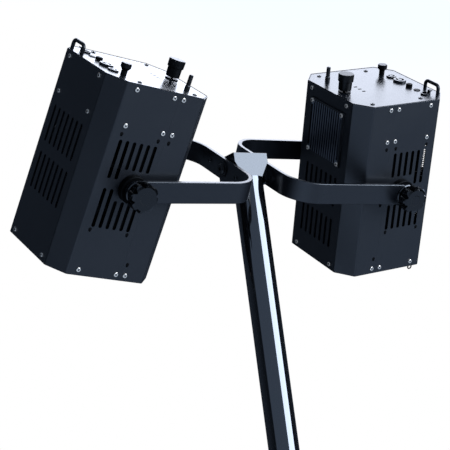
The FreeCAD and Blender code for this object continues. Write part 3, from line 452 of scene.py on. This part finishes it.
powder_coat("case_paint", 0.0028, 0.45, 0.36)
powder_coat("plate_paint", 0.0035, 0.40, 0.25)
powder_coat("yoke_paint", 0.0030, 0.40, 0.30)
powder_coat("handle_metal", 0.0015, 0.2, 0.32, shine=0.3)
gloss_paint("mast_gloss", 0.0010, 0.2, 0.05, 1.0)
gloss_paint("block_gloss", 0.002, 0.2, 0.08, 0.5)
print("finishes:", *finishes)

# %% [markdown]
# ## Metals
#
# Nuts and contacts are bright steel with fine tool marks, which vary both colour and gloss. The
# heat sink and the sheet inside are drawn or rolled: one noise, stretched along the direction of
# drawing, gives the lines.

# %% Bright steel and drawn metal
def bright_steel(name, level, roughness):
    material, recipe, place = finish(name)
    tool_marks = noise(recipe, place, 700.0)
    recipe.feed(Base_Color=recipe.blend(tool_marks, grey(level * 0.8, 0.05), grey(level, 0.05)),
                Roughness=roughness + tool_marks * 0.15, Metallic=1.0)
    return material


def drawn_metal(name, level, roughness, stretch):
    material, recipe, place = finish(name)
    stretched = recipe.node("Mapping", sockets={"Vector": place, "Scale": stretch})
    lines = noise(recipe, stretched, 1.0, 3.0, 0.7)
    recipe.feed(Base_Color=recipe.blend(lines, grey(level * 0.7, 0.03), grey(level, 0.03)),
                Roughness=roughness + lines * 0.2, Metallic=1.0,
                Normal=bump(recipe, lines, 0.00003, 0.5))
    return material


bright_steel("socket_metal", 0.05, 0.25)
drawn_metal("heat_sink_metal", 0.012, 0.45, (30.0, 900.0, 900.0))
drawn_metal("chassis_metal", 0.010, 0.50, (200.0, 200.0, 200.0))
drawn_metal("supply_metal", 0.020, 0.45, (300.0, 60.0, 300.0))
print(len(finishes), "finishes so far")

# %% [markdown]
# ## Plastics and rubber
#
# Moulded plastic takes the skin of its mould, which is eroded by sparks into a fine, even grain.
# Rubber, foam and silicone are made in moulds too, and the black skin of a bolt or a circuit
# board is as even, so the same recipe serves them with another depth and gloss. The shine is a
# number of its own, because a near-black plastic shows little but its reflections.

# %% Moulded
def moulded(name, level, roughness, grain=1100.0, depth=0.00008, shine=0.5):
    material, recipe, place = finish(name)
    eroded = noise(recipe, place, grain, roughness=0.7)
    handled = noise(recipe, place, 30.0, 4.0)
    recipe.feed(Base_Color=recipe.blend(handled, grey(level, 0.12), grey(level * 1.6, 0.12)),
                Roughness=roughness + (handled - 0.5) * 0.12,
                Normal=bump(recipe, eroded, depth, 0.7), Specular_IOR_Level=shine)
    return material


moulded("bolt_steel", 0.003, 0.30, grain=500.0, depth=0.00002, shine=0.3)
moulded("barrel_black", 0.006, 0.45)
moulded("board", 0.65, 0.5, grain=400.0, depth=0.00002)
moulded("fan_plastic", 0.004, 0.40)
moulded("socket_plastic", 0.004, 0.24, grain=600.0, depth=0.00002)
moulded("fitting_plastic", 0.001, 0.45, grain=600.0, depth=0.00002, shine=0.05)
moulded("antenna_rubber", 0.003, 0.42, shine=0.3)
moulded("knob_plastic", 0.001, 0.32, shine=0.15)
moulded("disc_plastic", 0.0005, 0.45, shine=0.04)
moulded("clamp_plastic", 0.0004, 0.05, grain=400.0, depth=0.00001, shine=0.45)
print(len(finishes), "finishes so far")

# %% [markdown]
# ## Glass
#
# The front glass and the lens are clear. What makes glass look real is what is on it: wiped
# smears, which are a little rougher than the polish between them.

# %% Clear glass
def clear_glass(name, tint):
    material, recipe, place = finish(name)
    smears = noise(recipe, place, 25.0, 5.0, 0.7).ramp(0.55, 0.9)
    recipe.feed(Base_Color=tint, Roughness=0.02 + smears * 0.12, Transmission_Weight=1.0, IOR=1.5)
    return material


clear_glass("front_glass", (0.97, 1.0, 0.99, 1.0))
clear_glass("lens_glass", (1.0, 1.0, 1.0, 1.0))
print(len(finishes), "finishes so far")

# %% [markdown]
# ## Two parts with more than one finish
#
# The intake grille is a painted frame round bright-cut fins of black anodised metal, so a square
# mask about its middle changes paint into metal. The case screws are bright, but the few on the
# top plate are blackened, so that they don't dazzle, and those at the intake are dulled by the
# dust that the fan draws in. They are told apart by where they sit in the head.

# %% Grille and screws
def head_reach(recipe, place, axes, number):
    """How far a position lies from a head's origin along the head's axis 0, 1 or 2."""
    direction = axes.col[number].to_3d()
    return recipe.axis(place, direction) - axes.translation.dot(direction)


def grille_finish(name, axes, centre, half):
    material, recipe, place = finish(name)
    away_y, away_z = (abs(head_reach(recipe, place, axes, i) - centre[i]) for i in (1, 2))
    fins = (1 - (away_y > half)) * (1 - (away_z > half))
    skin = noise(recipe, place, 500.0, 3.0)
    recipe.feed(Base_Color=recipe.blend(fins, grey(0.0028, 0.2), grey(0.30, 0.1)), Metallic=fins,
                Roughness=0.26 + skin * 0.10, Normal=bump(recipe, skin, 0.00004, 0.4))
    return material


def screw_finish(name, axes, top, intake):
    material, recipe, place = finish(name)
    on_top = head_reach(recipe, place, axes, 2) > top
    at_intake = head_reach(recipe, place, axes, 0) < intake
    tool_marks = noise(recipe, place, 700.0)
    bright = recipe.blend(tool_marks, (0.88, 0.76, 0.62, 1), (1.0, 0.88, 0.74, 1))
    recipe.feed(Base_Color=recipe.blend(on_top, bright, grey(0.004)), Metallic=1 - on_top,
                Roughness=0.18 + tool_marks * 0.12 + at_intake * 0.45)
    return material


# %% [markdown]
# ## Giving each part its finish
#
# Every part takes the finish of its slot. The grilles and the case screws need to know where
# they are, so they get a finish of their own for each head. The screws of the yokes are black
# bolts, so they take the bolts' finish and not that of the bright screws.

# %% Assign the finishes
GRILLE_FRAME = 0.0042
TOP_BAND = 0.002
INTAKE_BAND = 0.004
chosen = {part["node"]: finishes.get(part["material_slot"]) for part in frame["record"]["subparts"]}
for side in SIDES:
    axes = head_axes[side]
    low, high = local_box(side + "_filter_grille", side)
    fin_square = (high.z - low.z) / 2 - GRILLE_FRAME
    top = local_box(side + "_top_plate", side)[1].z - TOP_BAND
    chosen[side + "_filter_grille"] = grille_finish(side + "_grille", axes, (low + high) / 2, fin_square)
    chosen[side + "_panel_screws"] = screw_finish(side + "_screws", axes, top, low.x + INTAKE_BAND)
    chosen[side + "_yoke_screws"] = finishes["bolt_steel"]
for node, part in nodes.items():
    part.data.materials.clear()
    part.data.materials.append(chosen[node])
print(len(finishes), "finishes for", len(nodes), "parts")

# %% [markdown]
# ## Pieces the workshop model leaves out
#
# What follows is fitted one by one, as an assembler would. Each piece is drawn in the head's own
# upright axes and then rides on the body it belongs to, so it moves when that body moves.
#
# Most pieces are either turned on a lathe or drawn along a line, so two small tools make nearly
# everything: one spins a profile about an axis, and the other pulls a ring along a path. Both
# make rings of points and then lay faces between them.

# %% Two tools
UP = Vector((0, 0, 1))


def circle(count):
    """Cosine and sine at equal steps once round."""
    turns = [2 * math.pi * i / count for i in range(count)]
    return [(math.cos(turn), math.sin(turn)) for turn in turns]


def join_rings(work, rings, closed):
    """Lay faces from each ring to the next; closed joins the last to the first, else caps both."""
    count = len(rings[0])
    following = rings[1:] + rings[:1] if closed else rings[1:]
    for lower, upper in zip(rings, following):
        for i in range(count):
            j = (i + 1) % count
            work.faces.new((lower[i], lower[j], upper[j], upper[i]))
    if not closed:
        work.faces.new(list(reversed(rings[0])))
        work.faces.new(rings[-1])


def lathe(work, profile, matrix, segments=48, closed=False):
    """Spin (radius, height) points about Z and carry the result by matrix."""
    rings = []
    for radius, height in profile:
        points = [Vector((radius * c, radius * s, height)) for c, s in circle(segments)]
        rings.append([work.verts.new(matrix @ point) for point in points])
    join_rings(work, rings, closed)


def sweep(work, path, radius, sides=8, loop=False, ripple=0.0, phase=0.0):
    """Pull a round section along a path; ripple swells it like a weld, phase further each point."""
    rings = []
    last = len(path) - 1
    for k, point in enumerate(path):
        before = path[k - 1] if k or loop else point
        after = path[(k + 1) % len(path)] if k < last or loop else point
        along = (after - before).normalized()
        upright = abs(along.z) > 0.9
        sideways = (along.orthogonal() if upright else along.cross(UP)).normalized()
        lift = sideways.cross(along)
        size = radius * (1 + ripple * math.sin(phase * k))
        rings.append([work.verts.new(point + (sideways * c + lift * s) * size) for c, s in circle(sides)])
    join_rings(work, rings, loop)


# %% [markdown]
# A finished mesh is fitted in four steps: its faces are turned outwards, it gets its finish,
# edges sharper than 35 degrees stay crisp while the rest is shaded smooth, and it rides on its
# body. Two more helpers place a turned piece: one shifts it, and one stands it up along a
# direction, because the lathe always works about Z.

# %% Fit a piece
CRISP_EDGE = math.radians(35)


def fit(name, work, body, material, smooth=True):
    """Close the mesh, give it its finish and let it ride on a body."""
    bmesh.ops.recalc_face_normals(work, faces=work.faces)
    for face in work.faces:
        face.smooth = smooth
    piece = build(name, work)
    piece.data.materials.append(material)
    if smooth:
        piece.data.set_sharp_from_angle(angle=CRISP_EDGE)
    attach(piece, body)


def fit_to_head(side, name, work, material, smooth=True):
    fit(side + "_" + name, work, side + "_head", material, smooth)


def shift(x, y, z):
    return Matrix.Translation((x, y, z))


def facing(x, y, z):
    """Turn that stands the lathe's axis in a direction."""
    return Vector((x, y, z)).to_track_quat("Z", "Y").to_matrix().to_4x4()


# %% [markdown]
# ### Foam in the airway
#
# Behind the slots of the outer face stands a sheet of black filter foam, and the intake face has
# one of its own under the fan, behind its two rows of slots. Both are dark, and they are why
# nothing but black is seen through most of the slots. The foam is moulded in a waffle, which is
# cheap and doubles its surface. A waffle is a grid whose points stand out and sink in by turns,
# so it is made as two grids, back to back, with a strip of faces round the rim.

# %% Foam sheets
FOAM_PITCH = 0.006
FOAM_THICKNESS = 0.002
WAFFLE_MEAN = 0.7
WAFFLE_SWING = 0.25


def waffle(work, matrix, width, height):
    """Sheet with a waffled front and back, drawn in the YZ plane."""
    across = int(width / FOAM_PITCH) * 2
    up = int(height / FOAM_PITCH) * 2
    sheets = []
    for way in (-1, 1):
        rows = []
        for j in range(up + 1):
            row = []
            for i in range(across + 1):
                swing = WAFFLE_SWING if (i + j) % 2 == 0 else -WAFFLE_SWING
                depth = way * FOAM_THICKNESS / 2 * (WAFFLE_MEAN + swing)
                point = Vector((depth, width * (i / across - 0.5), height * (j / up - 0.5)))
                row.append(work.verts.new(matrix @ point))
            rows.append(row)
        for lower, upper in zip(rows, rows[1:]):
            for i in range(across):
                work.faces.new((lower[i], lower[i + 1], upper[i + 1], upper[i]))
        sheets.append(rows)
    front, rear = sheets
    rim = [(0, i) for i in range(across)] + [(j, across) for j in range(up)]
    rim += [(up, i) for i in range(across, 0, -1)] + [(j, 0) for j in range(up, 0, -1)]
    for (row, column), (to_row, to_column) in zip(rim, rim[1:] + rim[:1]):
        work.faces.new((front[row][column], front[to_row][to_column],
                        rear[to_row][to_column], rear[row][column]))


foam_black = moulded("foam_black", 0.002, 0.9, grain=2500.0, depth=0.0003, shine=0.1)


def foam_sheet(side, name, x, z, size):
    """Sheet of foam at depth x, with its middle at height z."""
    work = bmesh.new()
    waffle(work, head_axes[side] @ shift(x, 0, z), *size)
    fit_to_head(side, name, work, foam_black, smooth=False)
    print(side, name, "of", size, "m")


# %% [markdown]
# ### Behind the outer face and the grille
#
# In front of the outlet foam a ladder of rods holds the sheet back. Between the grille and the
# fan a woven guard keeps fingers out: two layers of round wire, one upright and one level, that
# touch where they cross. Every rod and wire is a swept ring between two points.

# %% Outlet foam, outlet screen and wire guard
OUTLET_FOAM = (0.140, 0.250)
OUTLET_INSET = 0.022
ROD_HALF = 0.092
SCREEN_HEIGHT = 0.220
SCREEN_PITCH = 0.0040
SCREEN_ROD = 0.0010
SCREEN_INSET = 0.017
GUARD_WIRE = 0.0003
GUARD_PITCH = 0.0045
GUARD_MARGIN = 0.001
GUARD_DEPTHS = (-0.0004, -0.0010)


def rod(work, matrix, start, end, radius):
    """Straight round rod between two points."""
    sweep(work, [matrix @ Vector(start), matrix @ Vector(end)], radius, 6)


def case_corners(side):
    """Lowest and highest corner of a head's case, over both of its shells."""
    return bounds_of([*local_box(side + "_intake_shell", side), *local_box(side + "_outer_shell", side)])


def case_middle(side):
    """Height of the middle between the top plate and the bottom bezel."""
    return (local_box(side + "_top_plate", side)[0].z + local_box(side + "_bottom_bezel", side)[0].z) / 2


wire_black = gloss_paint("wire_black", 0.003, 0.2, 0.3, 0.4)
for side in SIDES:
    outer_face = case_corners(side)[1].x
    foam_sheet(side, "outlet_foam", outer_face - OUTLET_INSET, case_middle(side), OUTLET_FOAM)

    work = bmesh.new()
    screen = head_axes[side] @ shift(outer_face - SCREEN_INSET, 0, case_middle(side))
    for i in range(int(SCREEN_HEIGHT / SCREEN_PITCH) + 1):
        z = SCREEN_PITCH * i - SCREEN_HEIGHT / 2
        rod(work, screen, (0, -ROD_HALF, z), (0, ROD_HALF, z), SCREEN_ROD)
    fit_to_head(side, "outlet_screen", work, wire_black)

    low, high = local_box(side + "_fan_frame", side)
    half = (high.z - low.z) / 2 - GUARD_MARGIN
    guard = head_axes[side] @ shift(low.x, (low.y + high.y) / 2, (low.z + high.z) / 2)
    upright_depth, level_depth = GUARD_DEPTHS
    steps = int(2 * half / GUARD_PITCH)
    work = bmesh.new()
    for i in range(steps + 1):
        offset = half * (2 * i / steps - 1)
        rod(work, guard, (upright_depth, offset, -half), (upright_depth, offset, half), GUARD_WIRE)
        rod(work, guard, (level_depth, -half, offset), (level_depth, half, offset), GUARD_WIRE)
    fit_to_head(side, "wire_guard", work, wire_black)
    print(side, "guard has", 2 * (steps + 1), "wires")

# %% [markdown]
# ### Intake foam and plugs
#
# The foam of the intake face stands under the fan. The sides of the case have a few holes that
# carry no screw. They are closed with blind rubber plugs, so that no light leaks out of them.
# Their places are measured from the lower corner of the case's side: along the depth, and up.

# %% Intake foam and hole plugs
INTAKE_FOAM = (0.134, 0.168)
INTAKE_INSET = 0.012
INTAKE_RISE = 0.036
PLUG_RADIUS = 0.0032
PLUG_PLACES = (
    (0.069, 0.262), (0.091, 0.262), (0.166, 0.262), (0.070, 0.146),
    (0.091, 0.085), (0.167, 0.085), (0.070, 0.030),
)
plug_dome = [
    (PLUG_RADIUS, 0.00005), (PLUG_RADIUS, 0.0002),
    (0.8 * PLUG_RADIUS, 0.0004), (0.3 * PLUG_RADIUS, 0.0005),
]
plug_rubber = moulded("plug_rubber", 0.0006, 0.7, grain=900.0, depth=0.00003, shine=0.05)
for side in SIDES:
    low, high = case_corners(side)
    foot = low.z + INTAKE_RISE
    foam_sheet(side, "intake_foam", low.x + INTAKE_INSET, foot + INTAKE_FOAM[1] / 2, INTAKE_FOAM)

    work = bmesh.new()
    for face, outward in ((low.y, -1), (high.y, 1)):
        for depth, up in PLUG_PLACES:
            hole = head_axes[side] @ shift(low.x + depth, face, low.z + up)
            lathe(work, plug_dome, hole @ facing(0, outward, 0), 24)
    fit_to_head(side, "hole_plugs", work, plug_rubber)
    print(side, 2 * len(PLUG_PLACES), "plugs")

# %% [markdown]
# ### Seal round the top plate
#
# A thin black seal lies along the edge of the top plate. It keeps rain out of the joint, and
# against a pale sky it draws the plate's far edge as a fine dark line. The plate's outline is
# the convex hull of the points on its upper face, drawn in a little so that the seal lies on it.

# %% Seal
SEAL_RADIUS = 0.0006
SEAL_INSET = 0.0012
SEAL_STEP = 0.0008
SAME_HEIGHT = 0.0002
seal_black = moulded("seal_black", 0.001, 0.7, grain=900.0, depth=0.00003, shine=0.1)
for side in SIDES:
    points = in_head(corners_of(side + "_top_plate"), side)
    top = bounds_of(points)[1].z
    flat = [point.to_2d() for point in points if point.z > top - SAME_HEIGHT]
    outline = [flat[i] for i in geometry.convex_hull_2d(flat)]
    middle = sum(outline, Vector((0, 0))) / len(outline)
    path = []
    for corner in outline:
        if not path or (corner - path[-1]).length > SEAL_STEP:
            path.append(corner)
    drawn_in = [corner + (middle - corner).normalized() * SEAL_INSET for corner in path]
    work = bmesh.new()
    sweep(work, [head_axes[side] @ Vector((x, y, top)) for x, y in drawn_in], SEAL_RADIUS, loop=True)
    fit_to_head(side, "top_seal", work, seal_black)
    print(side, "seal runs through", len(drawn_in), "points")

# %% [markdown]
# ### Light engine
#
# A rubber ring lines the opening of the bottom plate, where it presses on the glass. It is a
# closed profile, turned: a flat back against the plate and a soft lip inwards. It shares its
# axis with the lens above it.

# %% Glass ring
RING_MARGIN = 0.0062
rubber = moulded("rubber", 0.006, 0.6, grain=1500.0, depth=0.00006)


def glass_ring(side, optics):
    """Ring under the glass; optics are the head's axes, moved onto the lens's axis."""
    low, high = local_box(side + "_front_glass", side)
    opening = (high.x - low.x) / 2 - RING_MARGIN
    lip = [(opening, -0.0004), (opening, -0.0022), (opening - 0.0007, -0.0024),
           (opening - 0.0020, -0.0012), (opening - 0.0024, -0.0004)]
    work = bmesh.new()
    lathe(work, lip, optics @ shift(0, 0, low.z), 72, closed=True)
    fit_to_head(side, "glass_ring", work, rubber)
    print(side, "glass opening", round(2000 * opening), "mm")


# %% [markdown]
# Under the heat sink a spun aluminium reflector gathers the light of the emitter, and a dome of
# silicone sits on the emitter itself. They are seen through the glass from below. Both are round,
# so they are turned: the reflector's wall is a curve down its inside and back up its outside.

# %% Reflector, dome and ring
WALL = 0.0012
THROAT = 0.014
BOARD_GAP = 0.0006
LENS_GAP = 0.002
LENS_MARGIN = 0.004
FLARE = 0.6
FLARE_STEPS = 12
DOME_RADIUS = 0.0095
DOME_HEIGHT = 0.007
DOME_GAP = 0.0005
spun_metal = drawn_metal("spun_metal", 0.90, 0.10, (60.0, 60.0, 900.0))
silicone = moulded("silicone", 0.55, 0.25, grain=300.0, depth=0.00001)
for side in SIDES:
    board_low, board_high = local_box(side + "_led_board", side)
    lens_low, lens_high = local_box(side + "_lens", side)
    optics = head_axes[side] @ shift((board_low.x + board_high.x) / 2, 0, 0)
    top = board_low.z - BOARD_GAP
    depth = top - lens_high.z - LENS_GAP
    mouth = (lens_high.x - lens_low.x) / 2 - LENS_MARGIN
    shares = [i / FLARE_STEPS for i in range(FLARE_STEPS + 1)]
    inside = [(THROAT + (mouth - THROAT) * share ** FLARE, top - depth * share) for share in shares]
    outside = [(radius + WALL, height) for radius, height in reversed(inside)]
    work = bmesh.new()
    lathe(work, inside + outside, optics, 64, closed=True)
    fit_to_head(side, "reflector", work, spun_metal)

    rises = [math.radians(angle) for angle in range(0, 85, 12)]
    dome = [(DOME_RADIUS * math.cos(rise), top - DOME_GAP - DOME_HEIGHT * math.sin(rise)) for rise in rises]
    work = bmesh.new()
    lathe(work, dome, optics, 40)
    fit_to_head(side, "emitter_dome", work, silicone)
    glass_ring(side, optics)
    print(side, "reflector opens to", round(2000 * mouth), "mm")

# %% [markdown]
# ### Screw sockets
#
# Every case screw has a hexagon socket, and shade leaves it dark. A small six-sided black cup is
# set in each as painted shade. The screws are found in their own mesh: every loose island of it is
# one screw, longer than it is wide, so its longest side is its axis and the end that is farther
# from the middle of the case is its head.
#
# Islands are found by giving every vertex a root and joining the roots of neighbours. Vertices
# at the same place count as neighbours too, because the parts come with split edges.

# %% Find the islands of a mesh
def islands(node):
    """Vertex positions of each separate island of a part's mesh."""
    mesh = nodes[node].data
    root = list(range(len(mesh.vertices)))

    def find(i):
        while root[i] != i:
            root[i] = root[root[i]]
            i = root[i]
        return i

    first_at = {}
    for vertex in mesh.vertices:
        place = tuple(round(c, 6) for c in vertex.co)
        root[find(vertex.index)] = find(first_at.setdefault(place, vertex.index))
    for edge in mesh.edges:
        a, b = edge.vertices
        root[find(a)] = find(b)
    groups = {}
    for vertex in mesh.vertices:
        groups.setdefault(find(vertex.index), []).append(vertex.co.copy())
    return list(groups.values())


def island_boxes(node, side):
    """Lowest and highest corner of each island, along a head's own axes."""
    return [bounds_of(in_head(points, side)) for points in islands(node)]


print(len(islands("right_panel_screws")), "screws in a head's case")

# %% [markdown]
# The cup is a lathe's work with six segments, which makes it a hexagon. It sits just under the
# crown of its screw and stands along the screw's axis.

# %% Painted shade in the sockets
CUP_RADIUS = 0.0016
CUP_SINK = 0.0003
cup = [(CUP_RADIUS, 0), (CUP_RADIUS, 0.0006), (0.7 * CUP_RADIUS, 0.0003), (0.3 * CUP_RADIUS, 0.0002)]
# The cups are near-black painted shade, standing in for the shade deep in the screw sockets.
socket_shade_black = moulded("socket_shade_black", 0.002, 0.6, grain=900.0, depth=0.00005, shine=0.2)
for side in SIDES:
    work = bmesh.new()
    screws = island_boxes(side + "_panel_screws", side)
    for low, high in screws:
        place = (low + high) / 2
        length = high - low
        axis = max(range(3), key=lambda i: length[i])
        outward = 1 if place[axis] > 0 else -1
        crown = high[axis] if outward > 0 else low[axis]
        place[axis] = crown - outward * CUP_SINK
        way = Vector((0, 0, 0))
        way[axis] = outward
        lathe(work, cup, head_axes[side] @ shift(*place) @ facing(*way), 6)
    fit_to_head(side, "socket_shade_cups", work, socket_shade_black, smooth=False)
    print(side, len(screws), "screw sockets")

# %% [markdown]
# ### Contacts
#
# The two round power sockets each have three blades of tinned brass, set in the ring-shaped
# recess. Each blade is a short arc of thick wire. The sockets are found in the same way, as the
# islands of their mesh.

# %% Contacts
BLADES = 3
BLADE_START = 150
BLADE_STEPS = range(-3, 4)
BLADE_STEP = 6
BLADE_SINK = 0.004
BLADE_RADIUS = 0.0007
tinned = bright_steel("tinned", 0.7, 0.25)
for side in SIDES:
    work = bmesh.new()
    for low, high in island_boxes(side + "_power_sockets", side):
        centre = (low + high) / 2
        ring = (high.x - low.x) / 4
        for blade in range(BLADES):
            start = BLADE_START + 360 * blade / BLADES
            turns = [math.radians(start + BLADE_STEP * step) for step in BLADE_STEPS]
            arc = [Vector((centre.x + ring * math.cos(turn), centre.y + ring * math.sin(turn),
                           high.z - BLADE_SINK)) for turn in turns]
            sweep(work, [head_axes[side] @ point for point in arc], BLADE_RADIUS, 6)
    fit_to_head(side, "contacts", work, tinned)
    print(side, "contacts on a ring of", round(2000 * ring, 1), "mm")

# %% [markdown]
# ### Caps of the clamp knobs
#
# Each star knob is moulded over its stud and closed by a push-in cap with a raised rim. The cap
# rides on the knob, so it turns with it.

# %% Knob caps
CAP_SINK = 0.0004
CAP_PROFILE = (
    (0.0115, -0.0004), (0.0115, 0.0002), (0.0108, 0.0004), (0.0098, 0.0004),
    (0.0092, 0.0001), (0.0040, 0.0002), (0.0010, 0.0003),
)
cap_black = moulded("cap_black", 0.003, 0.35, grain=700.0, depth=0.00002, shine=0.3)
for side in SIDES:
    for end, outward in (("front", -1), ("back", 1)):
        body = side + "_" + end + "_clamp"
        low, high = local_box(body + "_knob", side)
        face = high.y if outward > 0 else low.y
        seat = shift((low.x + high.x) / 2, face - outward * CAP_SINK, (low.z + high.z) / 2)
        work = bmesh.new()
        lathe(work, CAP_PROFILE, head_axes[side] @ seat @ facing(0, outward, 0))
        fit(body + "_cap", work, body, cap_black)
        print(body, "cap at", round(face, 4))

# %% [markdown]
# ### Anchors
#
# The base plate is held down by four studs, each with a washer and a nut. All three are turned:
# the washer is a closed ring, the nut has six segments, and the stud's thread is a profile that
# goes in and out by turns.

# %% Anchors
WASHER = ((0.0072, 0.0001), (0.0118, 0.0001), (0.0120, 0.0010), (0.0118, 0.0024), (0.0072, 0.0024))
NUT = ((0.0092, 0.0025), (0.0104, 0.0034), (0.0104, 0.0116), (0.0092, 0.0125))
THREAD_ROOT = 0.0054
THREAD_CREST = 0.0058
THREAD_START = 0.0126
THREAD_STEP = 0.0004
THREAD_STEPS = 30
thread = []
for i in range(THREAD_STEPS):
    thread.append((THREAD_CREST if i % 2 else THREAD_ROOT, THREAD_START + i * THREAD_STEP))
thread.append((0.0045, thread[-1][1] + 2 * THREAD_STEP))

zinc = bright_steel("zinc", 0.45, 0.4)
mount = next(m for m in frame["record"]["mounts"] if m["name"] == "base_bolts")
half = mount["dims"]["spacing_x_mm"] / 2000
plate_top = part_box("base_plate")[1].z
work = bmesh.new()
for x in (-half, half):
    for y in (-half, half):
        seat = shift(x, y, plate_top)
        lathe(work, WASHER, seat, 40, closed=True)
        lathe(work, NUT, seat, 6)
        lathe(work, thread, seat, 24)
fit("anchor_nuts", work, "mast", zinc)
print("anchors", round(2000 * half), "mm apart")

# %% [markdown]
# ### Welds
#
# The mast and its four ribs are welded to the plate. A weld is a bead that swells and narrows a
# little as the torch moves on, and it is painted over with everything else. So it is a swept
# ring whose radius follows a sine, laid along both sides of each rib and once round the mast.

# %% Welds
RIB_HALF = 0.004
RIB_BEAD = 0.0022
RIB_POINTS = 60
RIB_START = 0.003
RIB_CORNER = 0.0028
RIB_END = 0.001
RIB_RIPPLE = 0.12
RIB_PHASE = 1.3
FOOT_BEAD = 0.0026
FOOT_POINTS = 180
FOOT_RIPPLE = 0.10
FOOT_PHASE = 2 * math.pi * 40 / FOOT_POINTS
BEAD_OUT = 0.0008
BEAD_RISE = 0.0006
weld_paint = gloss_paint("weld_paint", 0.002, 0.2, 0.16, 0.6)
tube_low, tube_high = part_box("mast_tube")
mast_radius = (tube_high.x - tube_low.x) / 2
gusset_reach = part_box("base_gussets")[1].x
start = mast_radius + RIB_START
length = (gusset_reach - RIB_CORNER) * math.sqrt(2) - RIB_END - start
places = [start + length * i / (RIB_POINTS - 1) for i in range(RIB_POINTS)]
height = UP * (plate_top + BEAD_RISE)
work = bmesh.new()
for rib in range(4):
    turn = math.radians(45 + 90 * rib)
    along = Vector((math.cos(turn), math.sin(turn), 0))
    across = UP.cross(along) * (RIB_HALF + BEAD_OUT)
    for way in (-1, 1):
        path = [along * place + across * way + height for place in places]
        sweep(work, path, RIB_BEAD, ripple=RIB_RIPPLE, phase=RIB_PHASE)
fit("rib_welds", work, "mast", weld_paint)

work = bmesh.new()
path = [Vector((c, s, 0)) * (mast_radius + BEAD_OUT) + height for c, s in circle(FOOT_POINTS)]
sweep(work, path, FOOT_BEAD, loop=True, ripple=FOOT_RIPPLE, phase=FOOT_PHASE)
fit("foot_weld", work, "mast", weld_paint)
print("rib welds", round(1000 * length), "mm long, foot weld", round(2000 * mast_radius), "mm across")

# %% [markdown]
# ## The finished box
#
# The box of the finished model is printed. The finished model has to stay inside the workshop
# model's box.

# %% Print the finished box
low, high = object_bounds()
print("box", [round(c, 4) for c in high - low])
